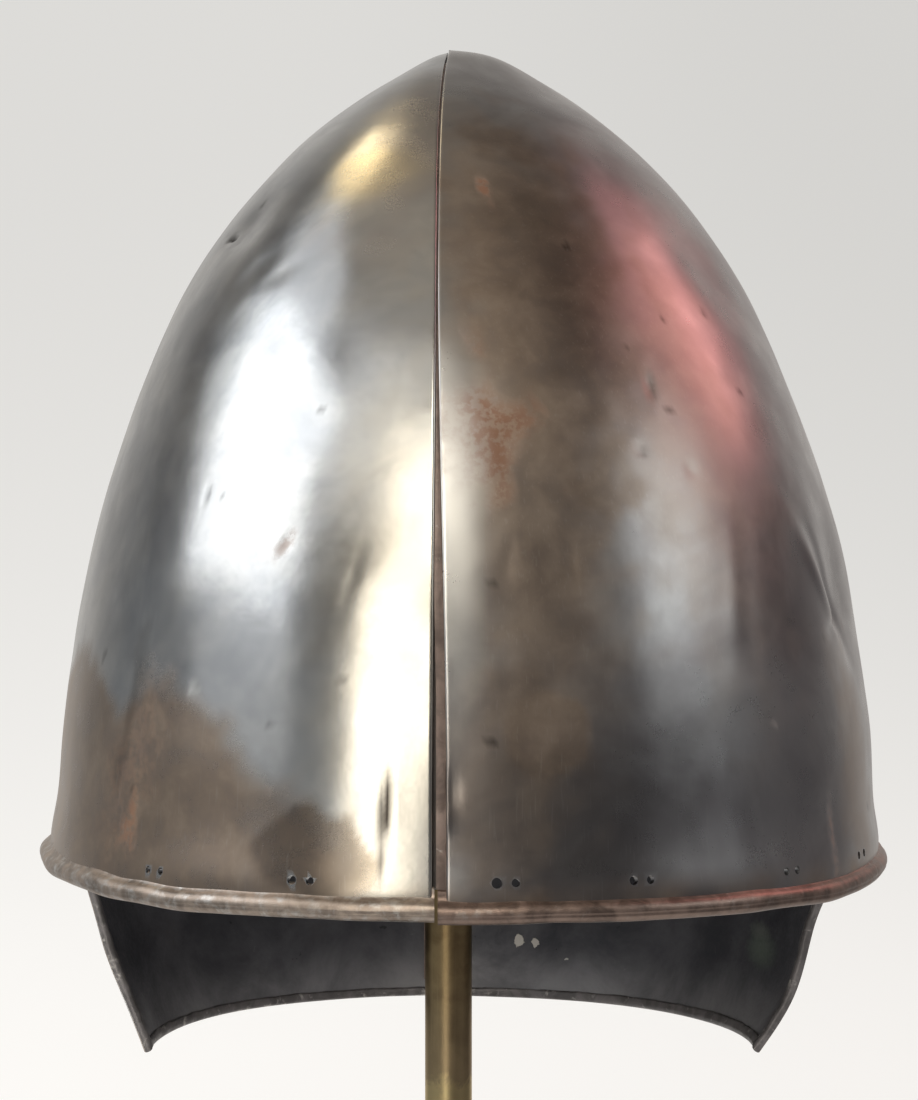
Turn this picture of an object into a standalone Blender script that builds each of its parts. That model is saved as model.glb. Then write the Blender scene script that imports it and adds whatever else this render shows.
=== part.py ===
"""A bascinet on a plain display stand, modelled in metres with +Z up.

The helmet faces -Y. Its skull is two raised steel halves that meet in a lapped seam over the crown, and each
half runs down behind the face opening into a nape guard. The origin is on the underside of the stand's base,
on the axis of the rod, which stands under the helmet's apex.
"""

import math

import bmesh
import bpy
import numpy as np
from mathutils import Matrix, Vector

# Sizes of the helmet
PLATE = 0.0018
SKULL_HEIGHT = 0.2175
HALF_LEFT = 0.1054
HALF_RIGHT = 0.1134
FRONT_REACH = 0.1380
REAR_REACH = 0.1100
NECK_DROP = 0.0550
NAPE_ARCH = 0.0036
RIM_LEVEL = 0.1500
SQUARENESS = 2.15
KEEL_DEPTH = 0.0012
KEEL_WIDTH = 0.0140

# Face opening
CHEEK_TOP_Y = 0.0140
CHEEK_TIP_Y = 0.0090

# Brow roll, turned outwards
ROLL_RADIUS = 0.0026
ROLL_OFFSET = 0.0003
ROLL_START = 0.0004
ROLL_TAPER = math.radians(9.0)
BROW_LIFT = 0.0018
LIFT_REACH = 0.0450
LIFT_REACH_BELOW = 0.0180  # and this far below it
TEMPLE_LIFT = 0.0029  # how far the brow line rises towards the temples
TEMPLE_FROM_LEFT = math.radians(45.0)  # where that rise starts, round from the front
TEMPLE_FROM_RIGHT = math.radians(55.0)
TEMPLE_FULL = math.radians(87.0)  # and where it is complete

# Hem of the cheek and nape edges, folded inwards
HEM_WIDTH = 0.0030
HEM_DEPTH = 0.0011
HEM_INSET = 0.0001

# Lapped seam
GAP = 0.0003
LAP_GAP = 0.0006
SEAM_PLAIN = 0.00018
SEAM_LEFT_TOP = 0.0003
SEAM_LEFT_BROW = 0.0009
SEAM_RIGHT_TOP = 0.0004
SEAM_RIGHT_BROW = 0.0024
SEAM_DRIFT = 0.0026
LAP = 0.0050
LAP_END = 0.0040
LAP_TOP = 0.05
FLANGE = 0.0012
JOGGLE = 0.0030

# Lining holes
HOLE_HEIGHT = 0.0068
HOLE_PITCH = 0.0046

# Stand
ROD_RADIUS = 0.00635
BASE_RADIUS = 0.0850
BASE_THICKNESS = 0.0140
BASE_CHAMFER = 0.0020
ROD_SOCKET = 0.0100
BLOCK_DROP = 0.0040
BLOCK_RADIUS = 0.0220
BLOCK_HEIGHT = 0.0320
BLOCK_SOCKET = 0.0160

# Sections of the crown, as shares: height of SKULL_HEIGHT, left of HALF_LEFT, right of HALF_RIGHT,
# front of FRONT_REACH and rear of REAR_REACH
CROWN = [
    {"height": 1.000, "left": 0.000, "right": 0.000, "front": 0.000, "rear": 0.000},
    {"height": 0.995, "left": 0.032, "right": 0.074, "front": 0.032, "rear": 0.038},
    {"height": 0.982, "left": 0.079, "right": 0.146, "front": 0.085, "rear": 0.100},
    {"height": 0.965, "left": 0.133, "right": 0.204, "front": 0.148, "rear": 0.175},
    {"height": 0.945, "left": 0.198, "right": 0.264, "front": 0.212, "rear": 0.252},
    {"height": 0.890, "left": 0.350, "right": 0.403, "front": 0.362, "rear": 0.425},
    {"height": 0.820, "left": 0.491, "right": 0.539, "front": 0.506, "rear": 0.577},
    {"height": 0.730, "left": 0.630, "right": 0.663, "front": 0.644, "rear": 0.716},
    {"height": 0.620, "left": 0.742, "right": 0.768, "front": 0.765, "rear": 0.833},
    {"height": 0.500, "left": 0.832, "right": 0.858, "front": 0.858, "rear": 0.915},
    {"height": 0.380, "left": 0.901, "right": 0.923, "front": 0.923, "rear": 0.967},
    {"height": 0.250, "left": 0.946, "right": 0.967, "front": 0.966, "rear": 0.993},
    {"height": 0.140, "left": 0.972, "right": 0.990, "front": 0.986, "rear": 1.000},
    {"height": 0.060, "left": 0.986, "right": 0.998, "front": 0.996, "rear": 0.996},
    {"height": 0.000, "left": 0.996, "right": 1.001, "front": 1.000, "rear": 0.985},
]

# Sections of the nape guard, as shares: drop of NECK_DROP, the others as above
NECK = [
    {"drop": 0.27, "left": 0.945, "right": 0.919, "front": 0.935, "rear": 0.957},
    {"drop": 0.50, "left": 0.905, "right": 0.877, "front": 0.866, "rear": 0.928},
    {"drop": 0.75, "left": 0.847, "right": 0.832, "front": 0.822, "rear": 0.912},
    {"drop": 1.00, "left": 0.793, "right": 0.752, "front": 0.808, "rear": 0.923},
]

# Outline of the block as shares of BLOCK_RADIUS and BLOCK_HEIGHT
BLOCK_PROFILE = [(0.16, 0.0), (0.55, 0.22), (0.85, 0.50), (1.0, 0.80), (1.0, 1.0)]

# Main dents: turn in degrees from the brow's middle, height as a share of SKULL_HEIGHT, spread in degrees and as
# a share of SKULL_HEIGHT, depth in metres
DENTS = [
    {"side": 1, "turn": 72.0, "height": 0.34, "turn_spread": 6.0, "height_spread": 0.080, "depth": 0.0022},
    {"side": 1, "turn": 60.0, "height": 0.72, "turn_spread": 9.0, "height_spread": 0.060, "depth": 0.0012},
    {"side": -1, "turn": 56.0, "height": 0.77, "turn_spread": 8.0, "height_spread": 0.030, "depth": 0.0016},
]

# Pairs of lining holes: side, turn in degrees, rise as a share of HOLE_HEIGHT and the two radii in metres
HOLE_PAIRS = [
    {"side": 1, "turn": 6.3, "rise": 1.10, "near": 0.0013, "far": 0.0010},
    {"side": 1, "turn": 23.0, "rise": 1.07, "near": 0.0011, "far": 0.0010},
    {"side": 1, "turn": 47.0, "rise": 0.97, "near": 0.0010, "far": 0.0010},
    {"side": 1, "turn": 67.0, "rise": 0.92, "near": 0.0010, "far": 0.0010},
    {"side": -1, "turn": 16.1, "rise": 0.98, "near": 0.0010, "far": 0.0011},
    {"side": -1, "turn": 40.2, "rise": 0.90, "near": 0.0009, "far": 0.0009},
]

# How finely the walls are divided
BROW_COLUMNS = 18
NAPE_COLUMNS = 13
CROWN_ROWS = 22
CROWN_ROW_POWER = 1.4
NECK_ROWS = 6
ROLL_COLUMNS = 26
ROLL_SEGMENTS = 10
HOLE_SIDES = 8
ROUND_SIDES = 48
STEEL = {"colour": (0.36, 0.35, 0.34), "metallic": 1.0, "roughness": 0.32}
BRASS = {"colour": (0.42, 0.31, 0.16), "metallic": 1.0, "roughness": 0.38}
PAINT = {"colour": (0.035, 0.035, 0.035), "metallic": 0.0, "roughness": 0.55}
WOOD = {"colour": (0.19, 0.12, 0.07), "metallic": 0.0, "roughness": 0.60}


def smooth(low, high, value):
    """0 below low, 1 above high and a smooth step between."""
    t = np.clip((value - low) / (high - low), 0.0, 1.0)
    return t * t * (3.0 - 2.0 * t)


def natural_spline(knots, values):
    """A natural cubic spline through the rows of values, as a function of a number or an array."""
    steps = np.diff(knots)
    slopes = np.diff(values, axis=0) / steps[:, None]
    count = len(knots)
    system = np.eye(count)
    right_side = np.zeros_like(values)
    for k in range(1, count - 1):
        system[k, k - 1 : k + 2] = steps[k - 1], 2.0 * (steps[k - 1] + steps[k]), steps[k]
        right_side[k] = 6.0 * (slopes[k] - slopes[k - 1])
    bends = np.linalg.solve(system, right_side)

    def curve(at):
        at = np.asarray(at, float)
        k = np.clip(np.searchsorted(knots, at) - 1, 0, count - 2)
        step = steps[k][..., None]
        ahead = (knots[k + 1] - at)[..., None]
        behind = (at - knots[k])[..., None]
        ends = (bends[k] * ahead**3 + bends[k + 1] * behind**3) / (6.0 * step)
        lower = (values[k] / step - bends[k] * step / 6.0) * ahead
        upper = (values[k + 1] / step - bends[k + 1] * step / 6.0) * behind
        return ends + lower + upper

    return curve


def make_stations():
    """The sections as a spline over the way down the wall, and the way from the apex to the brow."""
    scale = np.array([SKULL_HEIGHT, HALF_LEFT, HALF_RIGHT, FRONT_REACH, REAR_REACH])
    crown = scale * [[row[k] for k in ("height", "left", "right", "front", "rear")] for row in CROWN]
    neck = scale * [[0.0, row["left"], row["right"], row["front"], row["rear"]] for row in NECK]
    neck[:, 0] = [-NECK_DROP * row["drop"] for row in NECK]
    middle = np.stack([crown[:, 0], crown[:, 1:].mean(axis=1)], axis=1)
    down = np.concatenate([[0.0], np.cumsum(np.linalg.norm(np.diff(middle, axis=0), axis=1))])
    knots = np.concatenate([down, down[-1] - neck[:, 0]])
    return natural_spline(knots, np.concatenate([crown, neck])), down[-1]


STATION, BROW_WAY = make_stations()
POWER = 2.0 / SQUARENESS


def dent_depth(side, turn, height):
    """How far the dents push the wall in."""
    depth = np.zeros_like(height)
    for dent in DENTS:
        if dent["side"] == side:
            across = (np.degrees(turn) - dent["turn"]) / dent["turn_spread"]
            along = (height / SKULL_HEIGHT - dent["height"]) / dent["height_spread"]
            depth += dent["depth"] * np.exp(-(across**2) - along**2)
    return depth


def brow_lift(side, turn, height):
    """How far the brow stands higher: towards the temples, and a little more all along the left half."""
    rise_from = TEMPLE_FROM_LEFT if side < 0 else TEMPLE_FROM_RIGHT
    lift = TEMPLE_LIFT * smooth(rise_from, TEMPLE_FULL, turn)
    if side < 0:
        lift = lift + BROW_LIFT * (0.35 + 0.65 * np.sin(np.minimum(1.5 * turn, math.pi)))
    behind = 1.0 - smooth(math.radians(95.0), math.radians(150.0), turn)
    above = 1.0 - smooth(0.0, LIFT_REACH, height)
    below = 1.0 - smooth(0.0, LIFT_REACH_BELOW, -height)
    return lift * behind * above * below


def wall(side, turn, way, start=0.0):
    """Points of the outer face. Turn runs from the brow's middle at 0 to the nape's at pi, and way from the apex
    down. The half starts at the distance start from the medial plane."""
    turn, way, start = np.broadcast_arrays(turn, way, start)
    height, left, right, front, rear = np.moveaxis(STATION(way), -1, 0)
    half = np.maximum(left if side < 0 else right, start)
    length = (front + rear) / 2.0
    sine = np.clip(np.sin(turn), 0.0, 1.0)
    cosine = np.cos(turn)
    x = start + (half - start) * sine**POWER
    drift = SEAM_DRIFT * cosine**2 * (1.0 - np.exp((height - SKULL_HEIGHT) / (0.06 * SKULL_HEIGHT)))
    y = (rear - front) / 2.0 - length * np.sign(cosine) * np.abs(cosine) ** POWER
    above_brow = smooth(0.0, 0.25 * SKULL_HEIGHT, height) * smooth(0.0, HALF_LEFT / 4.0, left)
    y = y - cosine * KEEL_DEPTH * above_brow * np.exp(-np.abs(x) / KEEL_WIDTH)
    depth = dent_depth(side, turn, height)
    x = x - depth * sine
    y = y + depth * cosine
    z = RIM_LEVEL + height + brow_lift(side, turn, height)
    return np.stack([side * x - drift, y, z], axis=-1)


def normal(side, turn, way, start=0.0):
    """Unit vectors out of the outer face."""
    nudge_turn, nudge_way = 2e-3, 2e-4
    turn, way, start = np.broadcast_arrays(turn, way, start)
    round_it = wall(side, np.minimum(turn + nudge_turn, math.pi), way, start)
    round_it = round_it - wall(side, np.maximum(turn - nudge_turn, 0.0), way, start)
    down_it = wall(side, turn, way + nudge_way, start)
    down_it = down_it - wall(side, turn, np.maximum(way - nudge_way, 0.0), start)
    out = np.cross(down_it, round_it) * side
    at_seam = (turn < 1e-6) | (turn > math.pi - 1e-6)
    out[..., 0] = np.where(at_seam, 0.0, out[..., 0])
    return out / np.maximum(np.linalg.norm(out, axis=-1, keepdims=True), 1e-12)


def seam_start(side, height):
    """Half of the seam's opening on one side, which widens from the apex to the brow."""
    top, brow = (SEAM_LEFT_TOP, SEAM_LEFT_BROW) if side < 0 else (SEAM_RIGHT_TOP, SEAM_RIGHT_BROW)
    return brow + (top - brow) * smooth(0.10 * SKULL_HEIGHT, 0.75 * SKULL_HEIGHT, height)


def start_of(side, turn, height):
    """The opening at the front seam, closing to the plain one behind the ears."""
    behind = smooth(0.3 * math.pi, 0.6 * math.pi, turn)
    return seam_start(side, height) * (1.0 - behind) + SEAM_PLAIN * behind


def inside(side, turn, way, start, depth):
    """Points at a depth under the outer face."""
    return wall(side, turn, way, start) - np.asarray(depth)[..., None] * normal(side, turn, way, start)


def turn_for_depth(way, y):
    """The turn at which the wall behind its widest section reaches y."""
    front, rear = np.moveaxis(STATION(way), -1, 0)[3:]
    share = (y - (rear - front) / 2.0) / ((front + rear) / 2.0)
    return math.pi - np.arccos(np.clip(share, 0.0, 1.0) ** (1.0 / POWER))


def turn_for_width(side, way, x, start):
    """The turn in front at which the wall is x away from the medial plane."""
    left, right = np.moveaxis(STATION(way), -1, 0)[1:3]
    half = left if side < 0 else right
    return np.arcsin(np.clip((x - start) / (half - start), 0.0, 1.0) ** (1.0 / POWER))


def cheek_turn(way):
    """The turn of the cheek's edge. Above the brow it stays at the brow's corner."""
    share = np.clip((way - BROW_WAY) / NECK_DROP, 0.0, 1.0)
    level = np.maximum(way, BROW_WAY)
    return turn_for_depth(level, CHEEK_TOP_Y + (CHEEK_TIP_Y - CHEEK_TOP_Y) * share)


def nape_drop(share):
    """How far the nape guard reaches below the brow, from the cheek's tip at 0 to the nape's middle at 1."""
    return NECK_DROP - NAPE_ARCH * np.clip(share, 0.0, 1.0) ** 0.5


def steel_point_rows(side):
    """Turn and way of the vertices of the crown's grid and of the nape guard's."""
    rows = (np.arange(1, CROWN_ROWS + 1) / CROWN_ROWS) ** CROWN_ROW_POWER * BROW_WAY
    corner = float(cheek_turn(np.array(BROW_WAY)))
    shares = np.arange(1, NAPE_COLUMNS + 1) / NAPE_COLUMNS
    brow = np.arange(BROW_COLUMNS + 1) / BROW_COLUMNS * corner
    turns = np.concatenate([brow, corner + (math.pi - corner) * shares])
    crown_turn, crown_way = np.meshgrid(turns, rows)
    shares = np.concatenate([[0.0], shares])
    down = np.arange(1, NECK_ROWS + 1) / NECK_ROWS
    neck_way = BROW_WAY + down[:, None] * nape_drop(shares)[None, :]
    edge = cheek_turn(neck_way)
    neck_turn = edge + (math.pi - edge) * shares[None, :]
    return crown_turn, crown_way, neck_turn, neck_way


def make_mesh(name, points, faces):
    """A mesh object from points and faces, with its faces turned outwards."""
    mesh = bpy.data.meshes.new(name)
    mesh.from_pydata([tuple(float(c) for c in p) for p in points], [], faces)
    shape = bmesh.new()
    shape.from_mesh(mesh)
    bmesh.ops.recalc_face_normals(shape, faces=shape.faces)
    shape.to_mesh(mesh)
    shape.free()
    piece = bpy.data.objects.new(name, mesh)
    bpy.context.scene.collection.objects.link(piece)
    return piece


def strip_solid(name, rings):
    """A solid through rings of points, closed at both ends."""
    count = len(rings[0])
    points = [p for ring in rings for p in ring]
    faces = [list(range(count)), [(len(rings) - 1) * count + k for k in range(count)]]
    for r in range(len(rings) - 1):
        for k in range(count):
            a, b = r * count + k, r * count + (k + 1) % count
            faces.append([a, b, b + count, a + count])
    return make_mesh(name, points, faces)


def plate(name, side):
    """One half of the helmet without its roll, hem and holes."""
    crown_turn, crown_way, neck_turn, neck_way = steel_point_rows(side)
    points = []

    def add(point):
        points.append(np.array(point, float))
        return len(points) - 1

    def add_grid(turn, way, depth):
        height = STATION(way)[..., 0]
        start = start_of(side, turn, height)
        place = inside(side, turn, way, start, np.full(turn.shape, depth))
        return [[add(p) for p in row] for row in place]

    tip_x = side * start_of(side, np.array(0.0), np.array(SKULL_HEIGHT))
    faces = []
    skins = []
    for depth, drop in ((0.0, 0.0), (PLATE, 1.25 * PLATE)):
        tip = add((tip_x, 0.0, RIM_LEVEL + SKULL_HEIGHT - drop))
        crown = add_grid(crown_turn, crown_way, depth)
        neck = [crown[-1][BROW_COLUMNS:]] + add_grid(neck_turn, neck_way, depth)
        skins.append((tip, crown, neck))
        for k in range(len(crown[0]) - 1):
            faces.append([tip, crown[0][k], crown[0][k + 1]])
        for grid in (crown, neck):
            for r in range(len(grid) - 1):
                for k in range(len(grid[0]) - 1):
                    faces.append([grid[r][k], grid[r][k + 1], grid[r + 1][k + 1], grid[r + 1][k]])
    rims = []
    for tip, crown, neck in skins:
        seam = [tip] + [row[0] for row in crown]
        edge = seam + crown[-1][1 : BROW_COLUMNS + 1] + [row[0] for row in neck[1:]]
        nape = [row[-1] for row in neck[1:-1]]
        edge = edge + neck[-1][1:] + nape[::-1] + [row[-1] for row in crown[::-1]]
        rims.append(edge)
    count = len(rims[0])
    for k in range(count):
        n = (k + 1) % count
        faces.append([rims[0][k], rims[0][n], rims[1][n], rims[1][k]])
    return make_mesh(name, points, faces)


def brow_roll(name, side):
    """The roll along the brow, which dives into the plate at the cheek's corner."""
    corner = float(cheek_turn(np.array(BROW_WAY)))
    turns = np.arange(ROLL_COLUMNS + 1) / ROLL_COLUMNS * corner
    fade = smooth(corner - ROLL_TAPER, corner, turns)
    base = wall(side, turns, BROW_WAY, ROLL_START)
    out = normal(side, turns, BROW_WAY, ROLL_START)
    out[:, 2] = 0.0
    out = out / np.linalg.norm(out, axis=1, keepdims=True)
    radius = ROLL_RADIUS + (0.30 * PLATE - ROLL_RADIUS) * fade
    offset = ROLL_OFFSET + (-0.5 * PLATE - ROLL_OFFSET) * fade
    rise = 0.9 * ROLL_RADIUS * fade
    rings = []
    for k in range(len(turns)):
        centre = base[k] + offset[k] * out[k] + np.array([0.0, 0.0, rise[k]])
        ring = []
        for s in range(ROLL_SEGMENTS):
            angle = 2.0 * math.pi * (s + 0.5) / ROLL_SEGMENTS
            up = np.array([0.0, 0.0, math.sin(angle)])
            ring.append(centre + radius[k] * (math.cos(angle) * out[k] + up))
        rings.append(ring)
    return strip_solid(name, rings)


def hem(name, side):
    """The folded edge inside the cheek and the nape."""
    _, _, neck_turn, neck_way = steel_point_rows(side)
    places = []
    for r in range(1, NECK_ROWS):
        places.append((neck_turn[r - 1, 0], neck_way[r - 1, 0], 1.0, 0.0))
    places.append((neck_turn[-1, 0], neck_way[-1, 0], 1.0, 1.0))
    for k in range(1, NAPE_COLUMNS + 1):
        places.append((neck_turn[-1, k], neck_way[-1, k], 0.0, 1.0))
    rings = []
    for turn, way, across, up in places:
        nudge = 1e-3
        behind = wall(side, turn + nudge, way, 0.0) if turn + nudge < math.pi else wall(side, turn, way, 0.0)
        before = wall(side, turn - nudge, way, 0.0)
        span = nudge * (2.0 if turn + nudge < math.pi else 1.0)
        per_turn = np.linalg.norm(behind - before) / span
        last = turn > math.pi - 1e-6
        ring = []
        for width, depth in (
            (HEM_INSET, 0.5 * PLATE),
            (HEM_INSET, PLATE + HEM_DEPTH),
            (HEM_WIDTH, PLATE + HEM_DEPTH),
            (HEM_WIDTH, 0.5 * PLATE),
        ):
            at_turn = turn - HEM_INSET / per_turn if last else turn + across * width / per_turn
            at_way = way - up * width
            start = start_of(side, np.array(at_turn), np.array(0.0))
            ring.append(inside(side, at_turn, at_way, start, depth))
        rings.append(ring)
    return strip_solid(name, rings)


def lap_flange(name, behind):
    """The right half's flange, which passes under the left half's edge, in front or behind."""
    ways = (np.arange(1, CROWN_ROWS + 1) / CROWN_ROWS) ** CROWN_ROW_POWER * BROW_WAY
    ways = [w for w in ways if w > LAP_TOP * BROW_WAY]
    if behind:
        ways += [BROW_WAY + nape_drop(1.0) * r / NECK_ROWS for r in range(1, NECK_ROWS + 1)]
    along = math.pi if behind else 0.0
    low = PLATE + LAP_GAP
    rings = []
    for way in ways:
        height, left = STATION(np.array(way))[:2]
        begin = {side: start_of(side, np.array(along), height) for side in (-1, 1)}
        lap = min(LAP, 0.3 * left)
        ring = []
        for side, x, depth in (
            (1, begin[1] + JOGGLE, 0.4 * PLATE),
            (1, begin[1] + HEM_INSET, 0.4 * PLATE),
            (1, begin[1] + HEM_INSET, low),
            (-1, lap, low),
            (-1, lap, low + FLANGE),
            (1, begin[1] + 0.5 * JOGGLE, low + FLANGE),
        ):
            turn = turn_for_width(side, np.array(way), x, begin[side])
            turn = along - turn if behind else turn
            ring.append(inside(side, turn, way, begin[side], depth))
        rings.append(ring)
    share = 1.0 - LAP_END / (ways[-1] - ways[-2])
    rings[-1] = [above + share * (below - above) for above, below in zip(rings[-2], rings[-1])]
    return strip_solid(name, rings)


def pin(name, centre, axis, radius, length, sides):
    """A round pin about a point along an axis."""
    shape = bmesh.new()
    turned = Vector((0.0, 0.0, 1.0)).rotation_difference(Vector(axis)).to_matrix().to_4x4()
    place = Matrix.Translation(Vector(centre)) @ turned
    bmesh.ops.create_cone(
        shape, cap_ends=True, segments=sides, radius1=radius, radius2=radius, depth=length, matrix=place
    )
    mesh = bpy.data.meshes.new(name)
    shape.to_mesh(mesh)
    shape.free()
    piece = bpy.data.objects.new(name, mesh)
    bpy.context.scene.collection.objects.link(piece)
    return piece


def turned(name, profile, sides):
    """A solid turned about +Z from radius and height pairs. The first and the last lie on the axis."""
    points, faces, rows = [], [], []
    for radius, height in profile:
        if radius < 1e-9:
            points.append((0.0, 0.0, height))
            rows.append([len(points) - 1] * sides)
            continue
        row = []
        for s in range(sides):
            angle = 2.0 * math.pi * s / sides
            points.append((radius * math.cos(angle), radius * math.sin(angle), height))
            row.append(len(points) - 1)
        rows.append(row)
    for r in range(len(rows) - 1):
        for s in range(sides):
            n = (s + 1) % sides
            corners = [rows[r][s], rows[r][n], rows[r + 1][n], rows[r + 1][s]]
            faces.append(list(dict.fromkeys(corners)))
    return make_mesh(name, points, faces)


def combine(piece, other, operation):
    """Join a helper to a piece, or cut it away."""
    other.hide_render = True
    other.display_type = "WIRE"
    change = piece.modifiers.new(other.name, "BOOLEAN")
    change.operation = operation
    change.solver = "EXACT"
    change.object = other


def material(name, look):
    """A plain material from one row of looks."""
    made = bpy.data.materials.new(name)
    made.use_nodes = True
    shader = made.node_tree.nodes["Principled BSDF"]
    shader.inputs["Base Color"].default_value = (*look["colour"], 1.0)
    shader.inputs["Metallic"].default_value = look["metallic"]
    shader.inputs["Roughness"].default_value = look["roughness"]
    return made


def finish(piece, made, sharp):
    """Give a piece its material and smooth shading with sharp corners."""
    piece.data.materials.append(made)
    for face in piece.data.polygons:
        face.use_smooth = True
    piece.data.set_sharp_from_angle(angle=sharp)


def cut_holes(piece, side):
    """Cut the pairs of lining holes above the brow roll."""
    for number, row in enumerate(HOLE_PAIRS):
        if row["side"] != side:
            continue
        way = BROW_WAY - row["rise"] * HOLE_HEIGHT
        middle = math.radians(row["turn"])
        nudge = 1e-3
        ends = wall(side, middle + nudge, way) - wall(side, middle - nudge, way)
        per_turn = np.linalg.norm(ends) / (2.0 * nudge)
        for share, key in ((-0.5, "near"), (0.5, "far")):
            turn = middle + share * HOLE_PITCH / per_turn
            start = float(start_of(side, np.array(turn), np.array(0.0)))
            centre = inside(side, turn, way, start, 0.5 * PLATE)
            axis = normal(side, turn, way, start)
            name = "hole_%s_%d_%s" % ("left" if side < 0 else "right", number, key)
            combine(piece, pin(name, centre, axis, row[key], 6.0 * PLATE, HOLE_SIDES), "DIFFERENCE")


def main():
    """Build the helmet and its stand."""
    for leftover in list(bpy.data.objects):
        bpy.data.objects.remove(leftover)
    steel_left = material("skull_steel_left", STEEL)
    steel_right = material("skull_steel_right", STEEL)
    brass = material("rod_brass", BRASS)
    paint = material("base_paint", PAINT)
    wood = material("block_wood", WOOD)

    for name, side, made in (("skull_left", -1, steel_left), ("skull_right", 1, steel_right)):
        piece = plate(name, side)
        combine(piece, brow_roll(name + "_roll", side), "UNION")
        combine(piece, hem(name + "_hem", side), "UNION")
        if side > 0:
            combine(piece, lap_flange(name + "_front_flange", False), "UNION")
            combine(piece, lap_flange(name + "_rear_flange", True), "UNION")
        cut_holes(piece, side)
        finish(piece, made, math.radians(40.0))

    socket = ROD_RADIUS + GAP
    floor_level = BASE_THICKNESS - ROD_SOCKET
    base = turned(
        "stand_base",
        [
            (0.0, 0.0),
            (BASE_RADIUS - BASE_CHAMFER, 0.0),
            (BASE_RADIUS, BASE_CHAMFER),
            (BASE_RADIUS, BASE_THICKNESS - BASE_CHAMFER),
            (BASE_RADIUS - BASE_CHAMFER, BASE_THICKNESS),
            (socket, BASE_THICKNESS),
            (socket, floor_level),
            (0.0, floor_level),
        ],
        ROUND_SIDES,
    )
    finish(base, paint, math.radians(30.0))

    apex = RIM_LEVEL + SKULL_HEIGHT
    block_top = apex - BLOCK_DROP
    rows = [(share * BLOCK_RADIUS, block_top - drop * BLOCK_HEIGHT) for share, drop in BLOCK_PROFILE]
    foot = block_top - BLOCK_HEIGHT
    rows = [(0.0, block_top)] + rows + [(socket, foot), (socket, foot + BLOCK_SOCKET), (0.0, foot + BLOCK_SOCKET)]
    block = turned("stand_block", rows, ROUND_SIDES // 2)
    finish(block, wood, math.radians(50.0))

    bottom = floor_level + GAP
    top = foot + BLOCK_SOCKET - GAP
    rod = turned("stand_rod", [(0.0, bottom), (ROD_RADIUS, bottom), (ROD_RADIUS, top), (0.0, top)], ROUND_SIDES)
    finish(rod, brass, math.radians(30.0))


main()
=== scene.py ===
"""Looks for the bascinet: finer shells, rolls, hems and flanges over the solids, with their materials."""

import math

import bmesh
import bpy
import numpy as np
from mathutils import Matrix, Vector


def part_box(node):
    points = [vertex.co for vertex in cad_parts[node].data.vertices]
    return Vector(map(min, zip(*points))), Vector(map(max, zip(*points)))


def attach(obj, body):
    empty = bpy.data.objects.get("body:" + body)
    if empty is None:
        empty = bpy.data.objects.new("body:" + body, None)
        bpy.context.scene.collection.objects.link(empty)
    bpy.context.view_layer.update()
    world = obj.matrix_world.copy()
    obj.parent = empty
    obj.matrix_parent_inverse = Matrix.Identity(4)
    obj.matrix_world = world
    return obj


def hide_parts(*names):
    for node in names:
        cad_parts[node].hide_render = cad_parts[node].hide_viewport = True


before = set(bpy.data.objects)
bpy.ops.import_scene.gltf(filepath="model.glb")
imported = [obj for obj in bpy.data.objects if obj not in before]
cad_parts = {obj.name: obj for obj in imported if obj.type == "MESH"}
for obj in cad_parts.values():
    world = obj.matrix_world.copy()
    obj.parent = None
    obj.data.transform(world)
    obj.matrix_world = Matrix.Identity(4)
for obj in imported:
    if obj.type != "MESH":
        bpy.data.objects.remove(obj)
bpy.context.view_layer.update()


def put(name, data):
    """A new object in the scene."""
    made = bpy.data.objects.new(name, data)
    bpy.context.scene.collection.objects.link(made)
    return made


def table(names, rows):
    """Rows of values under named columns, as one dict a row."""
    return [dict(zip(names, row)) for row in rows]


# Sizes of the solids, repeated from the part's source. Only the seam is narrower at its top.
PLATE = 0.0018
SKULL_HEIGHT = 0.2175
HALF_LEFT = 0.1054
HALF_RIGHT = 0.1134
FRONT_REACH = 0.138
REAR_REACH = 0.11
NECK_DROP = 0.055
NAPE_ARCH = 0.0036
RIM_LEVEL = 0.15
SQUARENESS = 2.15
POWER = 2.0 / SQUARENESS
KEEL_DEPTH = 0.0012
KEEL_WIDTH = 0.014
CHEEK_TOP_Y = 0.014
CHEEK_TIP_Y = 0.009
ROLL_RADIUS = 0.0026
ROLL_OFFSET = 0.0003
ROLL_START = 0.0004
ROLL_TAPER = math.radians(9.0)
BROW_LIFT = 0.0018
LIFT_REACH = 0.045
LIFT_REACH_BELOW = 0.018
TEMPLE_LIFT = 0.0029
TEMPLE_FROM_LEFT = math.radians(45.0)
TEMPLE_FROM_RIGHT = math.radians(55.0)
TEMPLE_FULL = math.radians(87.0)
SEAM_PLAIN = 0.00018
SEAM_LEFT_TOP = 0.00012
SEAM_LEFT_BROW = 0.0009
SEAM_RIGHT_TOP = 0.00014
SEAM_RIGHT_BROW = 0.0024
SEAM_DRIFT = 0.0026
LAP_GAP = 0.0006
LAP = 0.005
LAP_END = 0.004
LAP_TOP = 0.05
FLANGE = 0.0012
JOGGLE = 0.003
HOLE_HEIGHT = 0.0068
HOLE_PITCH = 0.0046
ROD_RADIUS = 0.00635
BASE_RADIUS = 0.085
BASE_THICKNESS = 0.014

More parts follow.
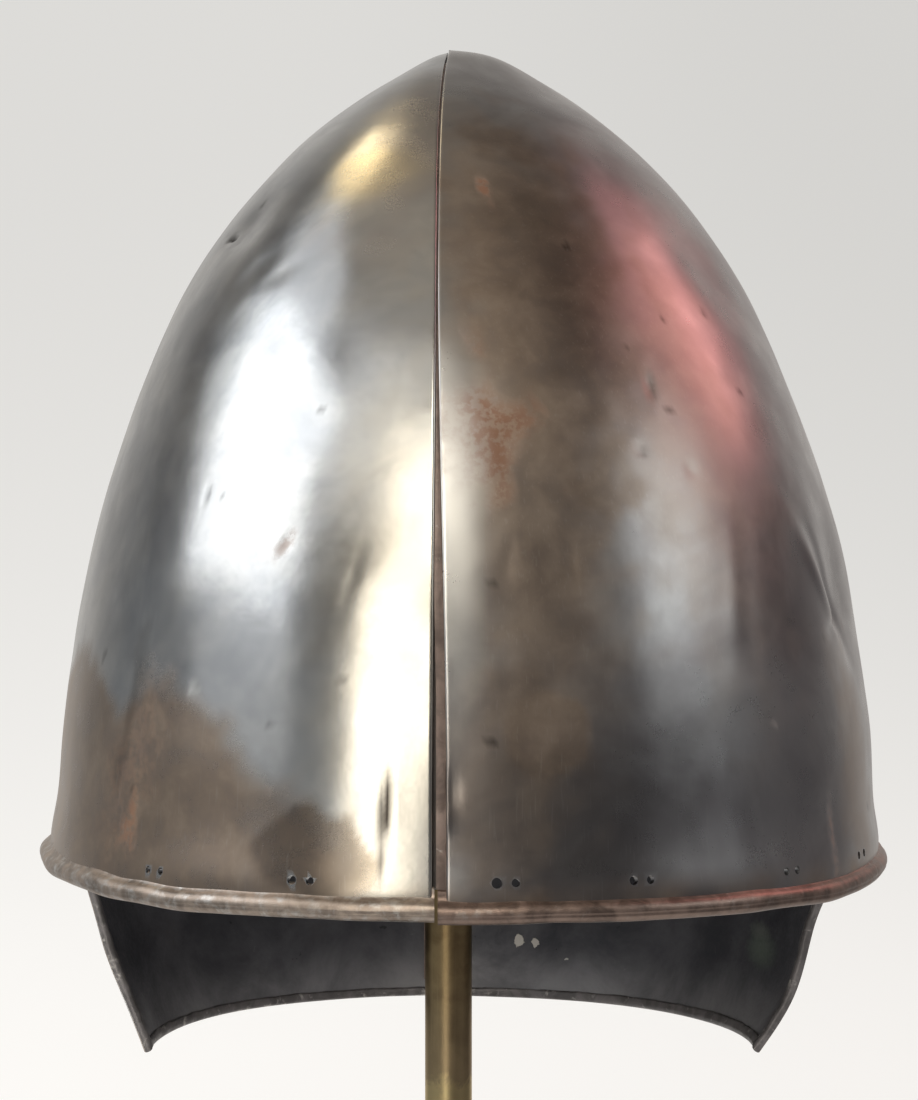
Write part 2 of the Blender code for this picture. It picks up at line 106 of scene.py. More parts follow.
# Sizes of the finer shapes in metres, and how many sides or pieces they have
TIP_SINK = 0.0007  # how far the left half stays lower at the apex
TIP_REACH = 0.014
ROLL_FILLET = 0.0024
ROLL_WRAP = math.radians(216.0)
FLANGE_SIDES = 11
FLANGE_BRINK = 0.0003  # from the right half's edge to the foot of the joggle
FLANGE_SUNK = 0.0003  # the joggle's start, below the middle of the plate
ROD_CHAMFER = 0.0003
BASE_EDGE = 0.0022
BASE_SIDES = 192
ROD_SIDES = 128
PIN_SIDES = 28
UNDULATION = 0.00013
RIPPLE = 0.000022
MARK_LIMIT = 0.06  # no mark reaches further from its centre
SPECKS = 64
FLOOR_RADIUS = 7.0
FLOOR_SIDES = 96
LIGHT_DISTANCE = 1.5

# Sections of the crown and the nape guard, as shares of the sizes above
CROWN = table(("height", "left", "right", "front", "rear"), [
    (1.000, 0.000, 0.000, 0.000, 0.000),
    (0.995, 0.032, 0.074, 0.032, 0.038),
    (0.982, 0.079, 0.146, 0.085, 0.100),
    (0.965, 0.133, 0.204, 0.148, 0.175),
    (0.945, 0.198, 0.264, 0.212, 0.252),
    (0.890, 0.350, 0.403, 0.362, 0.425),
    (0.820, 0.491, 0.539, 0.506, 0.577),
    (0.730, 0.630, 0.663, 0.644, 0.716),
    (0.620, 0.742, 0.768, 0.765, 0.833),
    (0.500, 0.832, 0.858, 0.858, 0.915),
    (0.380, 0.901, 0.923, 0.923, 0.967),
    (0.250, 0.946, 0.967, 0.966, 0.993),
    (0.140, 0.972, 0.990, 0.986, 1.000),
    (0.060, 0.986, 0.998, 0.996, 0.996),
    (0.000, 0.996, 1.001, 1.000, 0.985),
])
NECK = table(("drop", "left", "right", "front", "rear"), [
    (0.27, 0.945, 0.919, 0.935, 0.957),
    (0.50, 0.905, 0.877, 0.866, 0.928),
    (0.75, 0.847, 0.832, 0.822, 0.912),
    (1.00, 0.793, 0.752, 0.808, 0.923),
])
DENTS = table(("side", "turn", "height", "turn_spread", "height_spread", "depth"), [
    (1, 72.0, 0.34, 6.0, 0.08, 0.0022),
    (1, 60.0, 0.72, 9.0, 0.06, 0.0012),
    (-1, 56.0, 0.77, 8.0, 0.03, 0.0016),
])
HOLE_PAIRS = table(("side", "turn", "rise", "near", "far"), [
    (1, 6.3, 1.1, 0.0013, 0.001),
    (1, 23.0, 1.07, 0.0011, 0.001),
    (1, 47.0, 0.97, 0.001, 0.001),
    (1, 67.0, 0.92, 0.001, 0.001),
    (-1, 16.1, 0.98, 0.001, 0.0011),
    (-1, 40.2, 0.9, 0.0009, 0.0009),
])

# Small dents, creases and pits: place on the wall, tilt in degrees from the vertical, half length,
# half width and depth in mm. A negative depth stands proud.
MARKS = table(("side", "turn", "height", "tilt", "long", "wide", "depth"), [
    (-1, 34.8, 0.705, 50, 11.0, 3.0, 0.3),
    (-1, 38.5, 0.69, 50, 9.0, 3.0, -0.22),
    (-1, 42.1, 0.715, 35, 7.0, 4.5, 0.35),
    (-1, 63.0, 0.757, -78, 6.5, 0.7, 0.8),
    (-1, 10.7, 0.369, 15, 8.0, 1.2, 0.11),
    (-1, 11.5, 0.44, 25, 6.0, 1.3, 0.08),
    (-1, 7.7, 0.227, 15, 5.0, 1.2, 0.12),
    (-1, 5.8, 0.109, 2, 10.0, 0.8, 0.45),
    (-1, 4.8, 0.125, 4, 12.0, 2.0, -0.08),
    (-1, 35.1, 0.239, 0, 1.3, 1.3, 0.18),
    (-1, 21.4, 0.401, 30, 2.2, 0.8, 0.2),
    (-1, 38.0, 0.455, 0, 1.8, 0.7, 0.22),
    (-1, 33.0, 0.52, -30, 2.6, 0.8, 0.18),
    (1, 0.8, 0.102, 0, 2.0, 1.3, -0.55),
    (1, 1.6, 0.135, 0, 4.0, 1.6, 0.45),
    (1, 67.4, 0.34, -28, 15.0, 3.2, 1.2),
    (1, 63.0, 0.352, -28, 15.0, 3.2, -0.5),
    (1, 66.0, 0.3, 75, 7.0, 1.8, 0.7),
    (1, 41.0, 0.345, 12, 18.0, 3.0, -0.14),
    (1, 44.0, 0.36, 12, 18.0, 4.0, 0.18),
    (1, 33.0, 0.579, 10, 2.8, 0.9, 0.35),
    (1, 28.7, 0.506, 60, 1.6, 0.9, 0.3),
    (1, 36.8, 0.483, 70, 1.9, 0.8, 0.3),
    (1, 18.0, 0.456, -55, 3.0, 0.9, 0.28),
    (1, 16.4, 0.379, 0, 5.5, 0.8, 0.22),
    (1, 8.3, 0.386, 12, 4.0, 0.8, 0.2),
])

# Stains and painted light: place, tilt, half length and half width in mm, how ragged and soft the edge is,
# and how strong they are. Warm rows are painted reflections; one pale row is a painted highlight and some
# dark rows are painted shade.
# Small specks anywhere on the helmet follow them.
STAIN_AND_LIGHT_COLUMNS = ("kind", "side", "turn", "height", "tilt", "long", "wide", "ragged", "soft", "strength")
STAINS_AND_PAINTED_LIGHT = table(STAIN_AND_LIGHT_COLUMNS, [
    ("patina", -1, 68.0, 0.085, 12, 38, 42, 0.05, 0.1, 0.95),
    ("patina", -1, 45.0, 0.03, 20, 46, 36, 0.05, 0.1, 0.95),
    ("patina", -1, 32.0, 0.01, 90, 38, 32, 0.06, 0.12, 0.9),
    ("dark", -1, 66.0, 0.45, -8, 70, 20, 0.15, 0.9, 0.46),
    ("rust", -1, 47.0, 0.15, 20, 18, 9, 0.3, 0.9, 0.28),
    ("patina", -1, 15.8, 0.05, 90, 16, 13, 0.12, 0.08, 0.75),
    ("dark", -1, 15.8, 0.062, 90, 14, 11, 0.12, 0.16, 0.42),
    ("dark", -1, 48.5, 0.215, 8, 14, 2.4, 0.4, 0.8, 0.36),
    ("rust", -1, 46.1, 0.076, 5, 7, 2.6, 0.5, 0.5, 0.55),
    ("patina", -1, 6.0, 0.88, 10, 40, 16, 0.2, 0.6, 0.45),
    ("rust", -1, 21.4, 0.401, 30, 4, 2, 0.7, 0.6, 0.45),
    ("pale", -1, 35.1, 0.239, 0, 2.0, 2.0, 0.2, 0.3, 0.8),
    # The next two dark rows are painted shade, in the groove and the crack of the marks at the same places.
    ("dark", -1, 5.8, 0.109, 2, 12, 1.1, 0.25, 0.35, 1.0),
    ("dark", -1, 63.0, 0.757, -78, 7, 0.7, 0.2, 0.4, 0.95),
    ("patina", 1, 16.0, 0.7, 0, 62, 22, 0.2, 0.45, 0.85),
    ("dark", 1, 23.0, 0.7, 0, 40, 12, 0.25, 0.8, 0.45),
    ("rust", 1, 5.6, 0.533, -25, 13, 9, 0.45, 0.6, 0.8),
    ("rust", 1, 3.6, 0.521, 90, 2.6, 1.3, 0.5, 0.3, 0.95),
    ("rust", 1, 9.3, 0.812, 0, 5, 1.8, 0.6, 0.4, 0.75),
    ("patina", 1, 13.0, 0.43, 0, 62, 17, 0.12, 0.6, 0.85),
    ("patina", 1, 34.0, 0.56, -14, 60, 24, 0.15, 0.7, 0.6),
    ("patina", 1, 12.5, 0.195, 90, 11, 10.5, 0.1, 0.1, 0.85),
    ("patina", 1, 7.0, 0.15, 0, 30, 14, 0.3, 0.5, 0.6),
    # Partly dark patina, partly a painted dark reflection low on the right half.
    ("dark", 1, 15.0, 0.09, 90, 30, 24, 0.25, 0.7, 0.42),
    ("dark", 1, 10.0, 0.38, 0, 34, 12, 0.25, 0.8, 0.3),
    ("rust", 1, 57.9, 0.068, 0, 10, 1.2, 0.3, 0.7, 0.45),
    ("patina", 1, 68.0, 0.12, 0, 28, 12, 0.3, 0.6, 0.55),
    # Painted warm reflection: a warm band along the seam of the left half.
    ("warm", -1, 4.0, 0.26, 0, 66, 17, 0.15, 0.6, 0.4),
    # Painted highlight: a bright streak along the right half's seam edge.
    ("pale", 1, 1.5, 0.425, 0, 36, 6, 0.15, 0.8, 0.75),
    # Painted warm highlight near the top of the left half.
    ("warm", -1, 18.0, 0.83, 60, 13, 10, 0.15, 0.5, 0.6),
])
for number in range(SPECKS):
    pick = np.random.RandomState(900 + number)
    STAINS_AND_PAINTED_LIGHT += table(STAIN_AND_LIGHT_COLUMNS, [(
        "dark" if number % 3 else "rust", -1 if number % 2 else 1,
        pick.uniform(3.0, 165.0), pick.uniform(0.05, 0.86), pick.uniform(0.0, 90.0),
        pick.uniform(0.8, 1.6), pick.uniform(0.6, 1.0), 0.05, 0.5, pick.uniform(0.25, 0.6),
    )])

# Camera, which stands where the photographer's did
CAMERA = {"x": 0.00285, "y": -1.1, "above_brow": 0.1127, "down": 1.56, "lens": 133.2}

# Grid of the fine shells
SEAM_STEPS = [0.0, 0.00006, 0.00016, 0.00032, 0.00055, 0.001, 0.0018]
BROW_COLUMNS = 140
NAPE_COLUMNS = 56
CROWN_ROWS = 168
NECK_ROWS = 40
FIRST_ROW = 0.0012
EDGE_ROUND = 0.0006


def smooth(low, high, value):
    """0 below low, 1 above high and a smooth step between."""
    t = np.clip((value - low) / (high - low), 0.0, 1.0)
    return t * t * (3.0 - 2.0 * t)


def natural_spline(knots, values):
    """A natural cubic spline through the rows of values."""
    steps = np.diff(knots)
    slopes = np.diff(values, axis=0) / steps[:, None]
    count = len(knots)
    system = np.eye(count)
    right_side = np.zeros_like(values)
    for k in range(1, count - 1):
        system[k, k - 1 : k + 2] = steps[k - 1], 2.0 * (steps[k - 1] + steps[k]), steps[k]
        right_side[k] = 6.0 * (slopes[k] - slopes[k - 1])
    bends = np.linalg.solve(system, right_side)

    def curve(at):
        at = np.asarray(at, float)
        k = np.clip(np.searchsorted(knots, at) - 1, 0, count - 2)
        step = steps[k][..., None]
        ahead = (knots[k + 1] - at)[..., None]
        behind = (at - knots[k])[..., None]
        ends = (bends[k] * ahead**3 + bends[k + 1] * behind**3) / (6.0 * step)
        lower = (values[k] / step - bends[k] * step / 6.0) * ahead
        upper = (values[k + 1] / step - bends[k + 1] * step / 6.0) * behind
        return ends + lower + upper

    return curve


def make_stations():
    """The sections as a spline over the way down the wall, and the way from the apex to the brow."""
    scale = np.array([SKULL_HEIGHT, HALF_LEFT, HALF_RIGHT, FRONT_REACH, REAR_REACH])
    crown = scale * [[row[k] for k in ("height", "left", "right", "front", "rear")] for row in CROWN]
    neck = scale * [[0.0, row["left"], row["right"], row["front"], row["rear"]] for row in NECK]
    neck[:, 0] = [-NECK_DROP * row["drop"] for row in NECK]
    middle = np.stack([crown[:, 0], crown[:, 1:].mean(axis=1)], axis=1)
    down = np.concatenate([[0.0], np.cumsum(np.linalg.norm(np.diff(middle, axis=0), axis=1))])
    knots = np.concatenate([down, down[-1] - neck[:, 0]])
    return natural_spline(knots, np.concatenate([crown, neck])), down[-1]


STATION, BROW_WAY = make_stations()


def dent_depth(side, turn, height):
    """How far the main dents push the wall in."""
    depth = np.zeros_like(height)
    for dent in DENTS:
        if dent["side"] == side:
            across = (np.degrees(turn) - dent["turn"]) / dent["turn_spread"]
            along = (height / SKULL_HEIGHT - dent["height"]) / dent["height_spread"]
            depth += dent["depth"] * np.exp(-(across**2) - along**2)
    return depth


def brow_lift(side, turn, height):
    """How far the brow stands higher: towards the temples, and a little more all along the left half."""
    rise_from = TEMPLE_FROM_LEFT if side < 0 else TEMPLE_FROM_RIGHT
    lift = TEMPLE_LIFT * smooth(rise_from, TEMPLE_FULL, turn)
    if side < 0:
        lift = lift + BROW_LIFT * (0.35 + 0.65 * np.sin(np.minimum(1.5 * turn, math.pi)))
    behind = 1.0 - smooth(math.radians(95.0), math.radians(150.0), turn)
    above = 1.0 - smooth(0.0, LIFT_REACH, height)
    below = 1.0 - smooth(0.0, LIFT_REACH_BELOW, -height)
    return lift * behind * above * below


def wall(side, turn, way, start=0.0):
    """Points of the outer face, as in the part's source."""
    turn, way, start = np.broadcast_arrays(turn, way, start)
    height, left, right, front, rear = np.moveaxis(STATION(way), -1, 0)
    half = np.maximum(left if side < 0 else right, start)
    length = (front + rear) / 2.0
    sine = np.clip(np.sin(turn), 0.0, 1.0)
    cosine = np.cos(turn)
    x = start + (half - start) * sine**POWER
    drift = SEAM_DRIFT * cosine**2 * (1.0 - np.exp((height - SKULL_HEIGHT) / (0.06 * SKULL_HEIGHT)))
    y = (rear - front) / 2.0 - length * np.sign(cosine) * np.abs(cosine) ** POWER
    above_brow = smooth(0.0, 0.25 * SKULL_HEIGHT, height) * smooth(0.0, HALF_LEFT / 4.0, left)
    y = y - cosine * KEEL_DEPTH * above_brow * np.exp(-np.abs(x) / KEEL_WIDTH)
    depth = dent_depth(side, turn, height)
    x = x - depth * sine
    y = y + depth * cosine
    z = RIM_LEVEL + height + brow_lift(side, turn, height)
    return np.stack([side * x - drift, y, z], axis=-1)


def normal(side, turn, way, start=0.0):
    """Unit vectors out of the outer face."""
    nudge_turn, nudge_way = 2e-3, 2e-4
    turn, way, start = np.broadcast_arrays(turn, way, start)
    round_it = wall(side, np.minimum(turn + nudge_turn, math.pi), way, start)
    round_it = round_it - wall(side, np.maximum(turn - nudge_turn, 0.0), way, start)
    down_it = wall(side, turn, way + nudge_way, start)
    down_it = down_it - wall(side, turn, np.maximum(way - nudge_way, 0.0), start)
    out = np.cross(down_it, round_it) * side
    at_seam = (turn < 1e-6) | (turn > math.pi - 1e-6)
    out[..., 0] = np.where(at_seam, 0.0, out[..., 0])
    return out / np.maximum(np.linalg.norm(out, axis=-1, keepdims=True), 1e-12)


def start_of(side, turn, height):
    """Half of the seam's opening on one side."""
    top, brow = (SEAM_LEFT_TOP, SEAM_LEFT_BROW) if side < 0 else (SEAM_RIGHT_TOP, SEAM_RIGHT_BROW)
    open_front = brow + (top - brow) * smooth(0.1 * SKULL_HEIGHT, 0.75 * SKULL_HEIGHT, height)
    behind = smooth(0.3 * math.pi, 0.6 * math.pi, turn)
    return open_front * (1.0 - behind) + SEAM_PLAIN * behind


def turn_for_depth(way, y):
    """The turn at which the wall behind its widest section reaches y."""
    front, rear = np.moveaxis(STATION(way), -1, 0)[3:]
    share = (y - (rear - front) / 2.0) / ((front + rear) / 2.0)
    return math.pi - np.arccos(np.clip(share, 0.0, 1.0) ** (1.0 / POWER))


def turn_for_width(side, way, x, start):
    """The turn in front at which the wall is x away from the medial plane."""
    left, right = np.moveaxis(STATION(way), -1, 0)[1:3]
    half = np.maximum(left if side < 0 else right, start + 1e-6)
    return np.arcsin(np.clip((x - start) / (half - start), 0.0, 1.0) ** (1.0 / POWER))


def cheek_turn(way):
    """The turn of the cheek's edge."""
    share = np.clip((way - BROW_WAY) / NECK_DROP, 0.0, 1.0)
    level = np.maximum(way, BROW_WAY)
    return turn_for_depth(level, CHEEK_TOP_Y + (CHEEK_TIP_Y - CHEEK_TOP_Y) * share)


def nape_drop(share):
    """How far the nape guard reaches below the brow."""
    return NECK_DROP - NAPE_ARCH * np.clip(share, 0.0, 1.0) ** 0.5


def way_of(height):
    """The way down to a height above the brow."""
    ways = np.linspace(0.0, BROW_WAY + NECK_DROP, 3000)
    return float(np.interp(-height, -STATION(ways)[:, 0], ways))


def waves(points, seed, shortest, longest, count=36):
    """A smooth random field of about unit strength over points, the same each run."""
    dice = np.random.RandomState(seed)
    total = np.zeros(points.shape[:-1])
    for _ in range(count):
        direction = dice.normal(size=3)
        direction /= np.linalg.norm(direction)
        length = shortest * (longest / shortest) ** dice.uniform()
        total += np.sin(points @ direction * (2.0 * math.pi / length) + dice.uniform(0.0, 2.0 * math.pi))
    return total / math.sqrt(count / 2.0)


def find_frame(row):
    """Centre and the directions along and across a mark on the wall."""
    side, turn, way = row["side"], math.radians(row["turn"]), way_of(row["height"] * SKULL_HEIGHT)
    centre = wall(side, turn, way)
    out = normal(side, turn, way)
    up = np.array([0.0, 0.0, 1.0]) - out[2] * out
    up /= np.linalg.norm(up)
    right = np.cross(up, out)
    tilt = math.radians(row["tilt"])
    return centre, math.cos(tilt) * up + math.sin(tilt) * right, math.cos(tilt) * right - math.sin(tilt) * up


def in_mark(row, points):
    """Offsets from a mark's centre, and their shares of its half length and half width."""
    if "frame" not in row:
        row["frame"] = find_frame(row)
    centre, along, across = row["frame"]
    off = points - centre
    return off, off @ along / (row["long"] * 1e-3), off @ across / (row["wide"] * 1e-3)


def relief(side, points):
    """How far the hand-worked surface lies under the plain wall: undulations, creases and pits."""
    depth = UNDULATION * waves(points, 11, 0.034, 0.08) + RIPPLE * waves(points, 12, 0.012, 0.026)
    for row in MARKS:
        if row["side"] != side:
            continue
        off, a, b = in_mark(row, points)
        far = np.linalg.norm(off, axis=-1) > MARK_LIMIT
        depth += np.where(far, 0.0, row["depth"] * 1e-3 * np.exp(-(a**2) - b**2))
    return depth


def stains_and_painted_light(side, points):
    """Shares of each kind of stain and painted light at points of one half."""
    found = {kind: np.zeros(points.shape[:-1]) for kind in ("patina", "rust", "dark", "pale", "warm")}
    rough_edge = waves(points, 21, 0.006, 0.03)
    for row in STAINS_AND_PAINTED_LIGHT:
        if row["side"] != side:
            continue
        _, a, b = in_mark(row, points)
        reach = np.sqrt(a**2 + b**2) * (1.0 + row["ragged"] * np.clip(0.6 * rough_edge, -0.9, 0.9))
        share = 1.0 - smooth(1.0 - row["soft"], 1.0 + row["soft"], reach)
        found[row["kind"]] = 1.0 - (1.0 - found[row["kind"]]) * (1.0 - row["strength"] * share)
    height = points[..., 2] - RIM_LEVEL
    behind = smooth(0.02, 0.08, points[..., 1])
    found["patina"] = np.maximum(found["patina"], (0.45 + 0.15 * rough_edge) * behind)
    brow = 1.0 - smooth(0.003, 0.01, height)
    found["patina"] = np.maximum(found["patina"], brow * (0.55 + 0.15 * rough_edge))
    return {kind: np.clip(value, 0.0, 1.0) for kind, value in found.items()}


def make_piece(name, points, faces, smooth_angle=40.0):
    """A mesh piece with outward faces, smooth shading and sharp corners."""
    mesh = bpy.data.meshes.new(name)
    mesh.from_pydata(np.asarray(points, float).tolist(), [], faces)
    shape = bmesh.new()
    shape.from_mesh(mesh)
    bmesh.ops.recalc_face_normals(shape, faces=shape.faces)
    shape.to_mesh(mesh)
    shape.free()
    mesh.polygons.foreach_set("use_smooth", [True] * len(mesh.polygons))
    mesh.set_sharp_from_angle(angle=math.radians(smooth_angle))
    return put(name, mesh)


def set_stains_and_light(piece, side):
    """Store the stains and the painted light on a piece's points."""
    count = len(piece.data.vertices)
    flat = np.empty(3 * count)
    piece.data.vertices.foreach_get("co", flat)
    for kind, value in stains_and_painted_light(side, flat.reshape(-1, 3)).items():
        layer = piece.data.attributes.new(kind, "FLOAT", "POINT")
        layer.data.foreach_set("value", value.astype(np.float32))


def fine_grid(side):
    """Turn, way and seam opening of the shell's points: the crown's grid and the nape guard's."""
    rows = FIRST_ROW + (BROW_WAY - FIRST_ROW) * (np.arange(CROWN_ROWS + 1) / CROWN_ROWS) ** 1.2
    corner = float(cheek_turn(BROW_WAY))
    steps = np.array(SEAM_STEPS)

    def seam_steps(way):
        half = STATION(way)[:, 1 if side < 0 else 2]
        return steps * np.minimum(1.0, 0.2 * half / steps[-1])[:, None]

    start = start_of(side, 0.0, STATION(rows)[:, 0])[:, None]
    near = turn_for_width(side, rows[:, None], start + seam_steps(rows), start)
    share = np.arange(1, BROW_COLUMNS + 1) / BROW_COLUMNS
    brow = near[:, -1:] + (corner - near[:, -1:]) * share

    def to_seam(way, first):
        plain = np.full((len(way), 1), SEAM_PLAIN)
        last = math.pi - turn_for_width(side, way[:, None], SEAM_PLAIN + seam_steps(way)[:, ::-2], plain)
        spread = np.arange(1, NAPE_COLUMNS + 1) / (NAPE_COLUMNS + 1)
        return np.concatenate([first + (last[:, :1] - first) * spread, last], axis=1)

    crown_turn = np.concatenate([near, brow, to_seam(rows, np.full((len(rows), 1), corner))], axis=1)
    crown_way = np.broadcast_to(rows[:, None], crown_turn.shape)
    down = np.arange(1, NECK_ROWS + 1) / NECK_ROWS
    count = crown_turn.shape[1] - near.shape[1] - BROW_COLUMNS + 1
    shares = np.arange(count) / (count - 1)
    neck_way = BROW_WAY + down[:, None] * nape_drop(shares)[None, :]
    edge = cheek_turn(neck_way[:, 0])[:, None]
    rest = to_seam(neck_way[:, -1], edge)
    neck_turn = np.concatenate([edge, rest], axis=1)
    return crown_turn, crown_way, neck_turn, neck_way, near.shape[1] + BROW_COLUMNS - 1


def rounded_edge(side, turn, way, start):
    """How far the outer face drops at its seam edge."""
    ahead = wall(side, np.where(turn < math.pi / 2, 0.0, math.pi), way, start)
    here = wall(side, turn, way, start)
    distance = np.linalg.norm((here - ahead)[..., :2], axis=-1)
    inside = np.clip(EDGE_ROUND - distance, 0.0, EDGE_ROUND)
    return EDGE_ROUND - np.sqrt(EDGE_ROUND**2 - inside**2)


def shell(side, name):
    """One half of the helmet as a closed fine mesh."""
    crown_turn, crown_way, neck_turn, neck_way, corner_column = fine_grid(side)
    points, faces, inner_faces = [], [], []

    def add(turn, way, depth):
        start = start_of(side, turn, STATION(way)[..., 0])
        base = wall(side, turn, way, start)
        out = normal(side, turn, way, start)
        sink = relief(side, base)
        if side < 0:
            sink = sink + TIP_SINK * np.exp(-((way / TIP_REACH) ** 2))
        if depth == 0.0:
            sink = sink + rounded_edge(side, turn, way, start)
        place = base - (depth + sink)[..., None] * out
        first = sum(len(p) for p in points)
        points.append(place.reshape(-1, 3))
        return first + np.arange(place[..., 0].size).reshape(place.shape[:-1])

    rims = []
    for depth in (0.0, PLATE):
        tip_x = side * float(start_of(side, 0.0, SKULL_HEIGHT))
        first = sum(len(p) for p in points)
        sunk = TIP_SINK if side < 0 else 0.0
        points.append(np.array([[tip_x, 0.0, RIM_LEVEL + SKULL_HEIGHT - 1.25 * depth - sunk]]))
        crown = add(crown_turn, crown_way, depth)
        neck = np.concatenate([crown[-1:, corner_column:], add(neck_turn, neck_way, depth)], axis=0)
        bag = faces if depth == 0.0 else inner_faces
        for a, b in zip(crown[0][:-1], crown[0][1:]):
            bag.append([first, int(a), int(b)])
        for grid in (crown, neck):
            quads = np.stack([grid[:-1, :-1], grid[:-1, 1:], grid[1:, 1:], grid[1:, :-1]], axis=-1)
            bag.extend(quads.reshape(-1, 4).tolist())
        edge = [first] + crown[:, 0].tolist() + crown[-1, 1 : corner_column + 1].tolist()
        edge += neck[1:, 0].tolist() + neck[-1, 1:].tolist() + neck[1:-1, -1].tolist()[::-1]
        edge += crown[::-1, -1].tolist()
        rims.append(edge)
    count = len(rims[0])
    for k in range(count):
        n = (k + 1) % count
        faces.append([rims[0][k], rims[0][n], rims[1][n], rims[1][k]])
    return make_piece(name, np.concatenate(points), faces + inner_faces), len(faces)


def strip(name, rings, smooth_angle=50.0):
    """A closed solid through rings of points."""
    rings = np.asarray(rings, float)
    rows, count = rings.shape[:2]
    grid = np.arange(rows * count).reshape(rows, count)
    turned = np.roll(grid, -1, axis=1)
    quads = np.stack([grid[:-1], turned[:-1], turned[1:], grid[1:]], axis=-1).reshape(-1, 4).tolist()
    faces = [grid[0].tolist(), grid[-1].tolist()] + quads
    return make_piece(name, rings.reshape(-1, 3), faces, smooth_angle)


def roll_section():
    """The roll's outline, outwards and upwards from the brow in metres, with a long fillet up to the wall."""
    rise = math.sqrt((ROLL_RADIUS + ROLL_FILLET) ** 2 - (ROLL_FILLET - ROLL_OFFSET) ** 2)
    meet = math.atan2(rise, ROLL_FILLET - ROLL_OFFSET)
    outline = [(-0.0006, rise + 0.0012), (-0.00004, rise + 0.0008), (0.0, rise)]
    for k in range(1, 8):
        angle = math.pi + meet * k / 8.0
        outline.append((ROLL_FILLET + ROLL_FILLET * math.cos(angle), rise + ROLL_FILLET * math.sin(angle)))
    steps = 44
    for k in range(steps + 1):
        angle = meet - (meet + ROLL_WRAP) * k / steps
        degrees = math.degrees(angle)
        crease = 0.00022 * math.exp(-(((degrees + 14.0) / 5.0) ** 2))
        lip = 0.0003 * math.exp(-(((degrees + 118.0) / 8.0) ** 2))
        radius = ROLL_RADIUS - lip - crease
        outline.append((ROLL_OFFSET + radius * math.cos(angle), radius * math.sin(angle)))
    outline.append((-PLATE + 0.0003, 0.0026))
    return np.array(outline)


def brow_roll(side, name):
    """The rolled brow of one half."""
    corner = float(cheek_turn(BROW_WAY))
    turns = np.arange(241) / 240.0 * corner
    base = wall(side, turns, BROW_WAY, ROLL_START)
    out = normal(side, turns, BROW_WAY, ROLL_START)
    out[:, 2] = 0.0
    out /= np.linalg.norm(out, axis=1, keepdims=True)
    sink = relief(side, base)
    fade = smooth(corner - ROLL_TAPER, corner, turns)
    outline = roll_section()
    swell = 1.0 + 0.03 * waves(base, 31, 0.012, 0.05)
    wander = 0.00016 * waves(base, 32, 0.02, 0.09)
    rings = []
    for k in range(len(turns)):
        o = outline[:, 0] * swell[k]
        z = outline[:, 1] * swell[k] + wander[k]
        o = o + (-0.5 * PLATE - o) * fade[k] * 0.8
        z = z * (1.0 - 0.78 * fade[k]) + 0.9 * ROLL_RADIUS * fade[k]
        ring = base[k] + np.outer(o - sink[k], out[k])
        ring[:, 2] += z
        rings.append(ring)
    return strip(name, rings)


def hem_strip(side, name):
    """The folded edge of the cheek and the nape, a little ragged."""
    places = []
    for share in np.linspace(0.1, 1.0, 44):
        way = BROW_WAY + share * float(nape_drop(0.0))
        places.append((float(cheek_turn(way)), way, 1.0, 1.0 if share > 0.999 else 0.0))
    for share in np.linspace(0.0, 1.0, 130)[1:]:
        way = BROW_WAY + float(nape_drop(share))
        first = float(cheek_turn(way))
        places.append((first + (math.pi - 1e-4 - first) * share, way, 0.0, 1.0))
    outline = np.array([
        (0.7, 0.05), (0.15, -0.1), (-0.12, 0.35), (-0.2, 1.0), (-0.15, 1.6), (0.15, 2.15), (0.7, 2.38),
        (1.4, 2.33), (2.0, 2.36), (2.4, 2.22), (2.55, 1.95), (2.5, 1.3), (1.6, 0.9),
    ]) * 1e-3
    rings = []
    turns = np.array([p[0] for p in places])
    ways = np.array([p[1] for p in places])
    base = wall(side, turns, ways, SEAM_PLAIN)
    at_seam = ways > BROW_WAY + nape_drop(1.0) - 0.002
    ragged = 1.0 + np.where(at_seam, 0.03, 0.13) * waves(base, 41, 0.003, 0.014)
    thick = 1.0 + 0.05 * waves(base, 42, 0.004, 0.016)
    for k, (turn, way, across, up) in enumerate(places):
        nudge = 1e-3
        after = min(turn + nudge, math.pi)
        ahead = wall(side, after, way) - wall(side, turn - nudge, way)
        per_turn = np.linalg.norm(ahead) / (after - turn + nudge)
        width = outline[:, 0] * np.where(outline[:, 0] > 0.001, ragged[k], 1.0)
        depth = outline[:, 1] * np.where(outline[:, 1] > 0.002, thick[k], 1.0)
        at_turn = np.clip(turn + across * width / per_turn, 0.0, math.pi - 2e-4)
        at_way = way - up * width
        skin = wall(side, at_turn, at_way, SEAM_PLAIN)
        out = normal(side, np.minimum(at_turn, math.pi - 2e-3), at_way, SEAM_PLAIN)
        rings.append(skin - (depth + relief(side, skin))[:, None] * out)
    return strip(name, rings)


